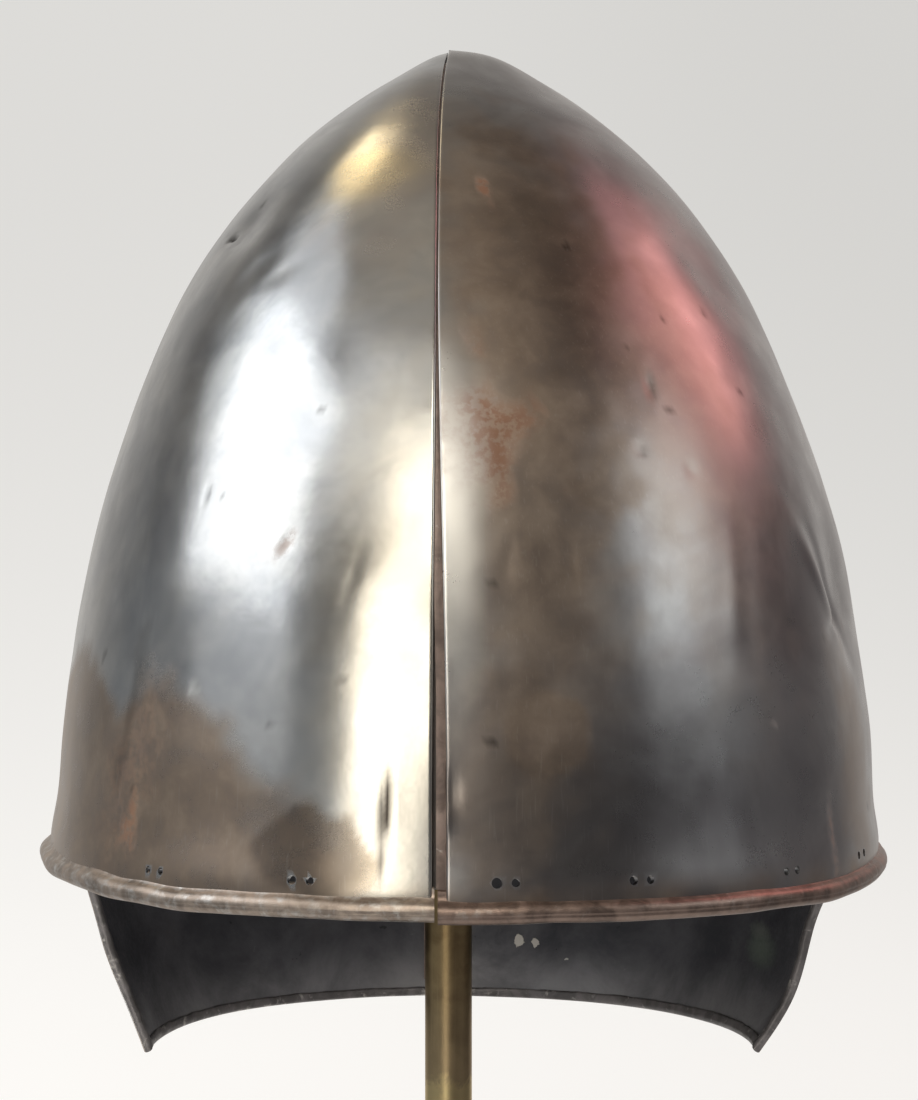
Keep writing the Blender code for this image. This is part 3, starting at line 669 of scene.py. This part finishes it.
def flange_strip(name, behind):
    """The lap flange of the right half, under the left half's edge."""
    rows = BROW_WAY * (LAP_TOP + (1.0 - LAP_TOP) * np.linspace(0.0, 1.0, 150) ** 1.1)
    if behind:
        rows = np.concatenate([rows, BROW_WAY + nape_drop(1.0) * np.linspace(0.0, 1.0, 41)[1:]])
    rows = rows[rows < rows[-1] - LAP_END]
    along = math.pi if behind else 0.0
    low = PLATE + LAP_GAP
    rings = []
    for way in rows:
        height, left = STATION(way)[:2]
        begin = {s: float(start_of(s, along, height)) for s in (-1, 1)}
        lap = min(LAP, 0.3 * left)
        wobble = 0.0001 * math.sin(way * 210.0) + 0.00007 * math.sin(way * 530.0 + 1.0)
        share = float(smooth(0.15 * SKULL_HEIGHT, 0.75 * SKULL_HEIGHT, height))
        floor = 0.0011 * (1.0 - share) + 0.00035 * share + wobble
        shut = float(smooth(0.18 * SKULL_HEIGHT, 0.38 * SKULL_HEIGHT, height))
        slit = max(begin[-1] - 0.00095 * (1.0 - shut) - 0.00015 * shut, 0.00004)
        edge, sunk = begin[1], 0.5 * PLATE + FLANGE_SUNK
        ring = []
        for side, x, depth in (
            (1, edge + JOGGLE, sunk),
            (1, edge + FLANGE_BRINK, sunk),
            (1, edge - 0.00002, floor + 0.00018),
            (1, max(edge - 0.0004, 0.00004), floor),
            (-1, 0.5 * slit, floor),
            (-1, slit, floor - 0.00015 * (1.0 - shut)),
            (-1, slit + 0.00003, floor + 0.0002),
            (-1, slit + 0.00005, low),
            (-1, lap, low),
            (-1, lap, low + FLANGE),
            (1, edge + 0.5 * JOGGLE, low + FLANGE),
        ):
            turn = turn_for_width(side, way, max(x, begin[side]), begin[side])
            turn = along - turn if behind else turn
            place = wall(side, turn, way, min(x, begin[side]))
            out = normal(side, turn, way, begin[side])
            ring.append(place - (depth + relief(side, place)) * out)
        rings.append(ring)
    return strip(name, rings)


def lining_hole_pins(side, name):
    """The pins that cut the lining holes of one half, as one mesh."""
    shape = bmesh.new()
    for row in HOLE_PAIRS:
        if row["side"] != side:
            continue
        way = BROW_WAY - row["rise"] * HOLE_HEIGHT
        middle = math.radians(row["turn"])
        ends = wall(side, middle + 1e-3, way) - wall(side, middle - 1e-3, way)
        per_turn = np.linalg.norm(ends) / 2e-3
        for share, key in ((-0.5, "near"), (0.5, "far")):
            turn = middle + share * HOLE_PITCH / per_turn
            start = float(start_of(side, turn, 0.0))
            centre = wall(side, turn, way, start) - 0.5 * PLATE * normal(side, turn, way, start)
            axis = Vector(normal(side, turn, way, start).tolist())
            spin = Vector((0.0, 0.0, 1.0)).rotation_difference(axis).to_matrix().to_4x4()
            bmesh.ops.create_cone(
                shape, cap_ends=True, segments=PIN_SIDES, radius1=row[key], radius2=row[key],
                depth=8.0 * PLATE, matrix=Matrix.Translation(Vector(centre.tolist())) @ spin,
            )
    mesh = bpy.data.meshes.new(name)
    shape.to_mesh(mesh)
    shape.free()
    return put(name, mesh)


def cut(piece, pins):
    """Cut the pins out of a piece for good, and drop them."""
    change = piece.modifiers.new("holes", "BOOLEAN")
    change.operation = "DIFFERENCE"
    change.solver = "MANIFOLD"
    change.object = pins
    depsgraph = bpy.context.evaluated_depsgraph_get()
    done = bpy.data.meshes.new_from_object(piece.evaluated_get(depsgraph))
    piece.modifiers.clear()
    piece.data = done
    bpy.data.objects.remove(pins)


def turned(name, profile, sides, smooth_angle=30.0):
    """A solid turned about +Z from radius and height pairs, the first and last on the axis."""
    angles = 2.0 * math.pi * np.arange(sides) / sides
    points = [(0.0, 0.0, profile[0][1])]
    for radius, height in profile[1:-1]:
        points += [(radius * math.cos(a), radius * math.sin(a), height) for a in angles]
    points.append((0.0, 0.0, profile[-1][1]))
    faces = []
    rows = len(profile) - 2
    for s in range(sides):
        n = (s + 1) % sides
        faces.append([0, 1 + s, 1 + n])
        faces.append([len(points) - 1, 1 + (rows - 1) * sides + s, 1 + (rows - 1) * sides + n])
        for r in range(rows - 1):
            a = 1 + r * sides
            faces.append([a + s, a + n, a + sides + n, a + sides + s])
    return make_piece(name, points, faces, smooth_angle)


def feed(tree, made, inputs):
    """Set a node's inputs to values, or link them from sockets."""
    for key, value in inputs.items():
        if isinstance(value, bpy.types.NodeSocket):
            tree.links.new(value, made.inputs[key])
        else:
            made.inputs[key].default_value = value


def node(tree, kind, inputs=None, **settings):
    """Add a shader node."""
    made = tree.nodes.new(kind)
    for key, value in settings.items():
        setattr(made, key, value)
    feed(tree, made, inputs or {})
    return made


def new_material(name):
    """An empty node material, its tree, its principled shader and the coordinates to paint by."""
    made = bpy.data.materials.new(name)
    made.use_nodes = True
    tree = made.node_tree
    tree.nodes.clear()
    shader = tree.nodes.new("ShaderNodeBsdfPrincipled")
    output = tree.nodes.new("ShaderNodeOutputMaterial")
    tree.links.new(shader.outputs["BSDF"], output.inputs["Surface"])
    return made, tree, shader, node(tree, "ShaderNodeTexCoord").outputs["Object"]


def noise(tree, coords, scale, detail=3.0, rough=0.55, warp=0.0):
    """A noise texture's value at a scale in cycles per metre."""
    return node(
        tree, "ShaderNodeTexNoise",
        {"Vector": coords, "Scale": scale, "Detail": detail, "Roughness": rough, "Distortion": warp},
    ).outputs["Fac"]


def remap(tree, value, low, high, out_low=0.0, out_high=1.0):
    """A value smoothly stretched between two limits."""
    return node(
        tree, "ShaderNodeMapRange",
        {"Value": value, "From Min": low, "From Max": high, "To Min": out_low, "To Max": out_high},
        interpolation_type="SMOOTHSTEP",
    ).outputs["Result"]


def math_of(tree, operation, first, second):
    """The result of one operation on two values."""
    return node(tree, "ShaderNodeMath", {0: first, 1: second}, operation=operation).outputs[0]


def times(tree, first, second):
    """The product of two values."""
    return math_of(tree, "MULTIPLY", first, second)


def plus(tree, first, second):
    """The sum of two values."""
    return math_of(tree, "ADD", first, second)


def vector_of(tree, operation, inputs):
    """The vector that comes out of one operation."""
    return node(tree, "ShaderNodeVectorMath", inputs, operation=operation).outputs[0]


def mix(tree, share, first, second):
    """Two colours mixed by a share."""
    mixed = node(tree, "ShaderNodeMix", {"Factor": share}, data_type="RGBA")
    for slot, value in ((6, first), (7, second)):
        feed(tree, mixed, {slot: value if isinstance(value, bpy.types.NodeSocket) else (*value, 1.0)})
    return mixed.outputs[2]


def bump(tree, height, strength, distance, under=None):
    """A normal with the relief of a height, on top of another relief if there is one."""
    inputs = {"Height": height, "Strength": strength, "Distance": distance}
    if under is not None:
        inputs["Normal"] = under
    return node(tree, "ShaderNodeBump", inputs).outputs["Normal"]


def streaks(tree, coords, turn, scale, thin, low, high):
    """Sparse long scratches along one direction."""
    laid = node(tree, "ShaderNodeMapping", {
        "Vector": coords, "Rotation": turn, "Scale": (scale * thin, scale * thin, scale),
    }).outputs["Vector"]
    return remap(tree, noise(tree, laid, 1.0, 2.0, 0.5, 0.15), low, high)


def stain_and_light_mask(tree, name):
    """A stored mask on the piece's points: one kind of stain, with painted light in the warm, pale and dark
    kinds.
    """
    return node(tree, "ShaderNodeAttribute", attribute_name=name, attribute_type="GEOMETRY").outputs["Fac"]


def steel_material(name, light, shade, dull):
    """Old burnished steel with brown patina, rust spots, pits and scratches, and painted warm reflections, a
    painted highlight and painted shade from the stored masks.
    """
    made, tree, shader, coords = new_material(name)
    broad = noise(tree, coords, 26.0, 4.0, 0.6, 0.4)
    cloud = noise(tree, coords, 95.0, 5.0, 0.62, 0.3)
    grain = noise(tree, coords, 1500.0, 3.0, 0.6)
    colour = mix(tree, remap(tree, broad, 0.35, 0.68), shade, light)
    deep = tuple(0.72 * c for c in shade)
    colour = mix(tree, remap(tree, cloud, 0.4, 0.75, 0.0, 0.16), colour, deep)
    patina = times(tree, stain_and_light_mask(tree, "patina"), remap(tree, cloud, 0.25, 0.6, 0.84, 1.0))
    brown = mix(tree, remap(tree, cloud, 0.3, 0.72), (0.305, 0.228, 0.175), (0.425, 0.335, 0.262))
    colour = mix(tree, patina, colour, brown)
    # Painted warm reflections and a painted warm highlight, from the warm rows of the table.
    colour = mix(tree, stain_and_light_mask(tree, "warm"), colour, (0.7, 0.6, 0.42))
    fleck = noise(tree, coords, 420.0, 4.0, 0.6)
    rust = times(tree, stain_and_light_mask(tree, "rust"), remap(tree, fleck, 0.4, 0.58, 0.35, 1.0))
    colour = mix(tree, rust, colour, (0.235, 0.095, 0.042))
    # Dark stains, with painted shade in a groove and a crack and a painted dark reflection low on the right.
    colour = mix(tree, stain_and_light_mask(tree, "dark"), colour, (0.03, 0.024, 0.02))
    # Pale spots, and a painted highlight as a bright streak by the seam on the right half.
    colour = mix(tree, stain_and_light_mask(tree, "pale"), colour, (0.8, 0.79, 0.76))
    pits = remap(tree, fleck, 0.72, 0.78)
    specks = times(tree, pits, remap(tree, broad, 0.48, 0.66))
    colour = mix(tree, times(tree, specks, 0.45), colour, (0.085, 0.06, 0.04))
    upright = streaks(tree, coords, (0.0, 0.12, 0.0), 30.0, 42.0, 0.63, 0.72)
    leaning = streaks(tree, coords, (0.75, 0.5, 0.3), 38.0, 34.0, 0.66, 0.74)
    level = streaks(tree, coords, (1.45, 0.2, 0.4), 34.0, 38.0, 0.66, 0.74)
    scratches = math_of(tree, "MAXIMUM", math_of(tree, "MAXIMUM", upright, leaning), level)
    colour = mix(tree, times(tree, scratches, 0.07), colour, (0.66, 0.64, 0.6))
    metal = math_of(tree, "SUBTRACT", 1.0, times(tree, rust, 0.55))
    metal = math_of(tree, "SUBTRACT", metal, times(tree, patina, 0.1))
    rough = remap(tree, cloud, 0.25, 0.75, dull, dull + 0.05)
    rough = plus(tree, rough, times(tree, patina, 0.07))
    rough = plus(tree, rough, times(tree, rust, 0.25))
    rough = plus(tree, rough, remap(tree, grain, 0.3, 0.7, -0.01, 0.015))
    pits = times(tree, pits, stain_and_light_mask(tree, "patina"))
    fine = bump(tree, times(tree, pits, -1.0), 0.25, 0.00012)
    wavy = plus(tree, noise(tree, coords, 150.0, 3.0, 0.5), times(tree, grain, 0.008))
    feed(tree, shader, {
        "Base Color": colour, "Metallic": metal, "Roughness": rough,
        "Normal": bump(tree, wavy, 0.17, 0.00022, fine),
    })
    return made


# Flakes and deposits inside: degrees from the front, mm below the brow, half sizes in mm
FLAKES = table(("turn", "below", "wide", "tall", "hue", "strength"), [
    (167.5, 35.1, 1.5, 2.0, (0.62, 0.58, 0.52), 0.95),
    (164.6, 36.0, 0.9, 1.6, (0.6, 0.56, 0.51), 0.95),
    (158.5, 40.2, 0.45, 0.45, (0.6, 0.58, 0.54), 0.9),
    (114.7, 31.1, 3.2, 4.0, (0.24, 0.29, 0.23), 0.55),
    (117.0, 26.0, 2.0, 1.8, (0.27, 0.29, 0.25), 0.45),
])


def inside_material(name):
    """The dull blue-grey inside of the helmet, with scale and pale flakes of old deposit, and a painted sheen
    that makes it lighter towards its lower edge.
    """
    made, tree, shader, coords = new_material(name)
    cloud = noise(tree, coords, 42.0, 5.0, 0.62, 0.3)
    grain = noise(tree, coords, 900.0, 3.0, 0.6)
    colour = mix(tree, remap(tree, cloud, 0.3, 0.7), (0.074, 0.074, 0.084), (0.155, 0.152, 0.165))
    scale = remap(tree, noise(tree, coords, 240.0, 4.0, 0.6, 0.4), 0.68, 0.76)
    colour = mix(tree, times(tree, scale, 0.35), colour, (0.34, 0.33, 0.33))
    pits = remap(tree, noise(tree, coords, 330.0, 3.0, 0.5), 0.7, 0.76)
    colour = mix(tree, times(tree, pits, 0.7), colour, (0.03, 0.028, 0.028))
    brown = remap(tree, noise(tree, coords, 22.0, 3.0), 0.55, 0.78)
    colour = mix(tree, times(tree, brown, 0.3), colour, (0.12, 0.095, 0.082))
    level = node(tree, "ShaderNodeSeparateXYZ", {0: coords}).outputs["Z"]
    # Painted sheen: lighter towards the lower edge inside, for light from below.
    painted_low_sheen = remap(tree, level, RIM_LEVEL - 0.053, RIM_LEVEL - 0.034, 1.0, 0.0)
    painted_low_sheen = times(tree, painted_low_sheen, remap(tree, cloud, 0.3, 0.7, 0.45, 1.0))
    colour = mix(tree, times(tree, painted_low_sheen, 0.7), colour, (0.46, 0.445, 0.45))
    frayed = node(tree, "ShaderNodeTexNoise", {"Vector": coords, "Scale": 700.0, "Detail": 3.0})
    frayed = vector_of(tree, "SUBTRACT", {0: frayed.outputs["Color"], 1: (0.5, 0.5, 0.5)})
    moved = vector_of(tree, "ADD", {0: coords, 1: vector_of(tree, "SCALE", {0: frayed, "Scale": 0.003})})
    flakes = None
    for row in FLAKES:
        turn, way = math.radians(row["turn"]), BROW_WAY + row["below"] * 1e-3
        start = float(start_of(1, turn, 0.0))
        centre = wall(1, turn, way, start) - PLATE * normal(1, turn, way, start)
        off = vector_of(tree, "SUBTRACT", {0: moved, 1: centre.tolist()})
        off = vector_of(tree, "DIVIDE", {0: off, 1: (row["wide"] * 1e-3, 0.012, row["tall"] * 1e-3)})
        reach = node(tree, "ShaderNodeVectorMath", {0: off}, operation="LENGTH").outputs["Value"]
        solid = row["strength"] > 0.6
        soft = 0.1 if solid else 0.7
        share = remap(tree, reach, 1.0 - soft, 1.0 + soft, row["strength"], 0.0)
        colour = mix(tree, share, colour, row["hue"])
        if solid:
            flakes = share if flakes is None else math_of(tree, "MAXIMUM", flakes, share)
    height = plus(tree, cloud, times(tree, grain, 0.06))
    height = plus(tree, height, times(tree, flakes, 0.8))
    feed(tree, shader, {
        "Base Color": colour, "Metallic": math_of(tree, "SUBTRACT", 0.5, times(tree, flakes, 0.5)),
        "Roughness": remap(tree, grain, 0.3, 0.7, 0.38, 0.52), "Normal": bump(tree, height, 0.75, 0.0006),
    })
    return made


def worn_edge_material(name, dark, light, low=0.5, high=0.72, metal=0.9):
    """Brown worked edges with light worn flecks."""
    made, tree, shader, coords = new_material(name)
    cloud = noise(tree, coords, 160.0, 5.0, 0.65, 0.5)
    grain = noise(tree, coords, 1300.0, 3.0, 0.6)
    worn = remap(tree, noise(tree, coords, 330.0, 4.0, 0.6, 0.3), low, high)
    colour = mix(tree, remap(tree, cloud, 0.35, 0.65), dark, tuple(1.7 * c for c in dark))
    colour = mix(tree, worn, colour, light)
    rough = plus(tree, remap(tree, cloud, 0.3, 0.7, 0.3, 0.46), remap(tree, grain, 0.3, 0.7, -0.03, 0.05))
    height = plus(tree, cloud, times(tree, grain, 0.12))
    feed(tree, shader, {
        "Base Color": colour, "Metallic": metal, "Roughness": rough,
        "Normal": bump(tree, height, 0.45, 0.00035),
    })
    return made


def brass_material(name):
    """Brown patinated brass, lighter and brighter towards its foot."""
    made, tree, shader, coords = new_material(name)
    cloud = noise(tree, coords, 130.0, 5.0, 0.62, 0.4)
    drawn = node(tree, "ShaderNodeMapping", {"Vector": coords, "Scale": (900.0, 900.0, 22.0)})
    lines = noise(tree, drawn.outputs["Vector"], 1.0, 2.0, 0.5)
    height = node(tree, "ShaderNodeSeparateXYZ", {0: coords}).outputs["Z"]
    ragged = plus(tree, height, remap(tree, cloud, 0.3, 0.7, -0.004, 0.004))
    bright = remap(tree, ragged, 0.086, 0.0905, 1.0, 0.0)
    old = mix(tree, remap(tree, cloud, 0.3, 0.72), (0.33, 0.225, 0.11), (0.51, 0.37, 0.19))
    old = mix(tree, remap(tree, lines, 0.55, 0.75, 0.0, 0.45), old, (0.64, 0.49, 0.27))
    old = mix(tree, remap(tree, height, 0.088, 0.13, 0.55, 0.0), old, (0.72, 0.55, 0.33))
    colour = mix(tree, bright, old, (0.84, 0.66, 0.34))
    feed(tree, shader, {
        "Base Color": colour, "Metallic": 1.0, "Roughness": remap(tree, cloud, 0.3, 0.7, 0.34, 0.44),
        "Normal": bump(tree, lines, 0.25, 0.00008),
    })
    return made


def paint_material(name):
    """Satin black paint over metal, with fine orange peel and a few worn specks."""
    made, tree, shader, coords = new_material(name)
    cloud = noise(tree, coords, 45.0, 4.0, 0.6)
    peel = noise(tree, coords, 520.0, 2.0, 0.5)
    specks = remap(tree, noise(tree, coords, 380.0, 3.0, 0.6), 0.7, 0.75)
    colour = mix(tree, remap(tree, cloud, 0.3, 0.7), (0.014, 0.014, 0.015), (0.028, 0.028, 0.029))
    colour = mix(tree, times(tree, specks, 0.4), colour, (0.1, 0.1, 0.1))
    feed(tree, shader, {
        "Base Color": colour, "Roughness": remap(tree, cloud, 0.3, 0.7, 0.36, 0.5),
        "Normal": bump(tree, peel, 0.2, 0.0002),
    })
    return made


def wood_material(name):
    """A turned block of plain pale wood with its grain upright."""
    made, tree, shader, coords = new_material(name)
    laid = node(tree, "ShaderNodeMapping", {"Vector": coords, "Scale": (210.0, 210.0, 26.0)})
    grain = noise(tree, laid.outputs["Vector"], 1.0, 4.0, 0.6, 0.6)
    colour = mix(tree, remap(tree, grain, 0.3, 0.7), (0.33, 0.2, 0.105), (0.55, 0.38, 0.22))
    feed(tree, shader, {
        "Base Color": colour, "Roughness": remap(tree, grain, 0.3, 0.7, 0.5, 0.66),
        "Normal": bump(tree, grain, 0.3, 0.0003),
    })
    return made


def give(piece, *materials):
    """Put materials in a piece's slots."""
    piece.data.materials.clear()
    for made in materials:
        piece.data.materials.append(made)


# The pieces
steels = {
    -1: steel_material("steel_left", (0.68, 0.675, 0.66), (0.5, 0.51, 0.525), 0.205),
    1: steel_material("steel_right", (0.56, 0.55, 0.54), (0.385, 0.365, 0.365), 0.265),
}
inside = inside_material("helmet_inside")
rolled = {
    -1: worn_edge_material("rolled_edge_left", (0.3, 0.245, 0.205), (0.6, 0.57, 0.54), 0.46, 0.74),
    1: worn_edge_material("rolled_edge_right", (0.205, 0.15, 0.125), (0.42, 0.36, 0.32), 0.54, 0.84),
}
hemmed = worn_edge_material("hemmed_edge", (0.15, 0.138, 0.136), (0.56, 0.53, 0.49), 0.57, 0.74, 0.45)
lapped = worn_edge_material("lapped_edge", (0.15, 0.112, 0.095), (0.55, 0.51, 0.45), 0.62, 0.8, 0.35)
# Painted shade: near-black colour for the faces down in the seam's slit.
slit_painted_shade = worn_edge_material("slit_painted_shade", (0.03, 0.022, 0.018), (0.07, 0.055, 0.045), 0.6, 0.8, 0.2)
for side, word in ((-1, "left"), (1, "right")):
    node_name = "skull_" + word
    half, outer_count = shell(side, node_name + "_plate")
    set_stains_and_light(half, side)
    give(half, steels[side], inside)
    which = (np.arange(len(half.data.polygons)) >= outer_count).astype(np.int32)
    half.data.polygons.foreach_set("material_index", which)
    cut(half, lining_hole_pins(side, "pins_" + word))
    roll = brow_roll(side, node_name + "_brow_roll")
    give(roll, rolled[side])
    hem = hem_strip(side, node_name + "_hem")
    give(hem, hemmed)
    made = [half, roll, hem]
    if side > 0:
        for where, behind in (("front", False), ("rear", True)):
            flange = flange_strip(node_name + "_lap_" + where, behind)
            give(flange, lapped, slit_painted_shade)
            # The faces down in the slit take the painted shade.
            spot = (np.arange(len(flange.data.polygons)) - 2) % FLANGE_SIDES
            in_slit_shade = (spot >= 6) & (spot <= 8)
            in_slit_shade[:2] = False
            flange.data.polygons.foreach_set("material_index", in_slit_shade.astype(np.int32))
            made.append(flange)
    for piece in made:
        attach(piece, "root")
    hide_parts(node_name)

profile = [(0.0, BASE_THICKNESS), (0.0067, BASE_THICKNESS), (0.007, BASE_THICKNESS - 0.0002)]
for k in range(13):
    angle = math.pi / 2.0 * (1.0 - k / 12.0)
    out, up = math.cos(angle) - 1.0, math.sin(angle) - 1.0
    profile.append((BASE_RADIUS + BASE_EDGE * out, BASE_THICKNESS + BASE_EDGE * up))
profile += [(BASE_RADIUS, 0.0006), (BASE_RADIUS - 0.0006, 0.0), (0.0, 0.0)]
base = turned("stand_base_plate", profile, BASE_SIDES)
give(base, paint_material("base_paint_satin"))
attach(base, "root")
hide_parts("stand_base")
rod_low, rod_high = [float(corner[2]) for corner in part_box("stand_rod")]
rod = turned("stand_rod_bar", [
    (0.0, rod_high), (ROD_RADIUS - ROD_CHAMFER, rod_high), (ROD_RADIUS, rod_high - ROD_CHAMFER),
    (ROD_RADIUS, rod_low + ROD_CHAMFER), (ROD_RADIUS - ROD_CHAMFER, rod_low), (0.0, rod_low),
], ROD_SIDES)
give(rod, brass_material("rod_brass_patina"))
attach(rod, "root")
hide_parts("stand_rod")
wood = wood_material("block_wood_plain")
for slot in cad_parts["stand_block"].material_slots:
    slot.material = wood

# Floor and backdrop in one: a wide pale bowl
angles = 2.0 * math.pi * np.arange(FLOOR_SIDES) / FLOOR_SIDES
bowl = [(0.0, 0.0)] + [(r, 0.052 * max(r - 0.7, 0.0) ** 2.6) for r in np.linspace(0.35, FLOOR_RADIUS, 40)]
points = [(0.0, 0.0, 0.0)]
for radius, height in bowl[1:]:
    points += [(radius * math.cos(a), radius * math.sin(a), height) for a in angles]
faces = [[0, 1 + s, 1 + (s + 1) % FLOOR_SIDES] for s in range(FLOOR_SIDES)]
for r in range(len(bowl) - 2):
    for s in range(FLOOR_SIDES):
        a, b = (1 + FLOOR_SIDES * r + t for t in (s, (s + 1) % FLOOR_SIDES))
        faces.append([a, a + FLOOR_SIDES, b + FLOOR_SIDES, b])
mesh = bpy.data.meshes.new("floor")
mesh.from_pydata(points, [], faces)
mesh.polygons.foreach_set("use_smooth", [True] * len(faces))
floor = put("floor", mesh)
paper, tree, shader, place = new_material("floor_paper")
away = node(tree, "ShaderNodeVectorMath", {0: place}, operation="LENGTH").outputs["Value"]
across = node(tree, "ShaderNodeSeparateXYZ", {0: place}).outputs["X"]
# Painted light: the floor's own glow is dimmer further from the helmet and towards the right.
glow = times(tree, remap(tree, away, 0.6, 3.4, 0.79, 0.61), remap(tree, across, -0.25, 0.45, 1.0, 0.9))
feed(tree, shader, {
    "Base Color": (0.25, 0.25, 0.245, 1.0), "Roughness": 0.9, "Specular IOR Level": 0.0,
    "Emission Color": (1.0, 0.99, 0.965, 1.0), "Emission Strength": glow,
})
floor.data.materials.append(paper)
floor.visible_glossy = False

# Soft lights, each a panel seen from the helmet in a direction: degrees round from the front, degrees up
LIGHTS = table(("name", "round", "up", "wide", "tall", "glow", "hue"), [
    ("main_left", -75, 34, 1.26, 0.9, 2.0, (0.96, 0.985, 1.0)),
    ("far_left", -106, 36, 0.34, 0.46, 0.62, (0.88, 0.95, 1.0)),
    ("soft_left", -30, 47, 0.52, 0.7, 0.78, (1.0, 0.99, 0.95)),
    ("low_left", -64, 9, 0.95, 0.34, 0.35, (0.95, 0.98, 1.0)),
    ("upper_left", -93, 56, 1.0, 0.4, 0.8, (0.96, 0.985, 1.0)),
    ("warm_high", -7, 35, 0.5, 0.5, 2.6, (1.0, 0.94, 0.82)),
    ("warm_low", -14, 8, 0.42, 0.92, 2.9, (1.0, 0.95, 0.85)),
    ("warm_right", 3, 40, 0.17, 0.85, 4.6, (1.0, 0.94, 0.82)),
    ("right_cool", 71, 27, 0.72, 0.68, 1.5, (0.92, 0.98, 1.0)),
    ("right_low", 66, 4, 0.6, 0.4, 0.2, (0.9, 0.97, 1.0)),
    ("right_pink", 113, 36, 0.38, 0.5, 2.0, (1.0, 0.45, 0.41)),
    ("right_pink_wide", 110, 39, 1.1, 0.95, 0.52, (1.0, 0.4, 0.42)),
    ("rear_gold", -142, 60, 0.3, 0.26, 4.2, (1.0, 0.85, 0.54)),
])
aim = Vector((0.0, 0.0, RIM_LEVEL + 0.07))
for row in LIGHTS:
    turn, rise = math.radians(row["round"]), math.radians(row["up"])
    away = Vector((math.sin(turn) * math.cos(rise), -math.cos(turn) * math.cos(rise), math.sin(rise)))
    panel = bpy.data.lights.new(row["name"], "AREA")
    panel.shape = "RECTANGLE"
    panel.size = row["wide"]
    panel.size_y = row["tall"]
    panel.energy = row["glow"] * math.pi * row["wide"] * row["tall"]
    panel.color = row["hue"]
    lamp = put(row["name"], panel)
    lamp.location = aim + LIGHT_DISTANCE * away
    lamp.rotation_euler = away.to_track_quat("Z", "Y").to_euler()
    lamp.visible_camera = False

# The room: pale where the camera sees past the floor, dim in reflections
world = bpy.data.worlds.new("studio")
world.use_nodes = True
tree = world.node_tree
tree.nodes.clear()
ray = node(tree, "ShaderNodeLightPath").outputs["Is Camera Ray"]
toward = node(tree, "ShaderNodeTexCoord").outputs["Generated"]
toward = node(tree, "ShaderNodeSeparateXYZ", {0: toward}).outputs
dim = mix(tree, remap(tree, toward["X"], -0.45, 0.45), (0.2, 0.208, 0.215), (0.09, 0.086, 0.09))
dim = mix(tree, remap(tree, toward["Z"], 0.05, 0.45), dim, (0.095, 0.086, 0.078))
high = mix(tree, remap(tree, toward["X"], -0.35, 0.4), (0.44, 0.39, 0.32), (0.17, 0.145, 0.115))
dim = mix(tree, remap(tree, toward["Z"], 0.8, 1.0), dim, high)
dim = mix(tree, remap(tree, toward["Y"], 0.48, 1.0), dim, (0.62, 0.6, 0.57))
dim = mix(tree, remap(tree, toward["Z"], -0.4, -0.8), dim, (0.55, 0.54, 0.52))
tint = mix(tree, ray, dim, (0.8, 0.79, 0.77))
room = node(tree, "ShaderNodeBackground", {"Color": tint, "Strength": 1.0})
tree.links.new(room.outputs[0], node(tree, "ShaderNodeOutputWorld").inputs["Surface"])
bpy.context.scene.world = world

camera = put("camera", bpy.data.cameras.new("camera"))
camera.data.sensor_fit = "VERTICAL"
camera.data.sensor_height = 36.0
camera.data.lens = CAMERA["lens"]
camera.data.clip_end = 50.0
camera.location = (CAMERA["x"], CAMERA["y"], RIM_LEVEL + CAMERA["above_brow"])
camera.rotation_euler = (math.radians(90.0 - CAMERA["down"]), 0.0, 0.0)
bpy.context.scene.camera = camera
bpy.context.scene.view_settings.view_transform = "Standard"
bpy.context.scene.view_settings.look = "None"
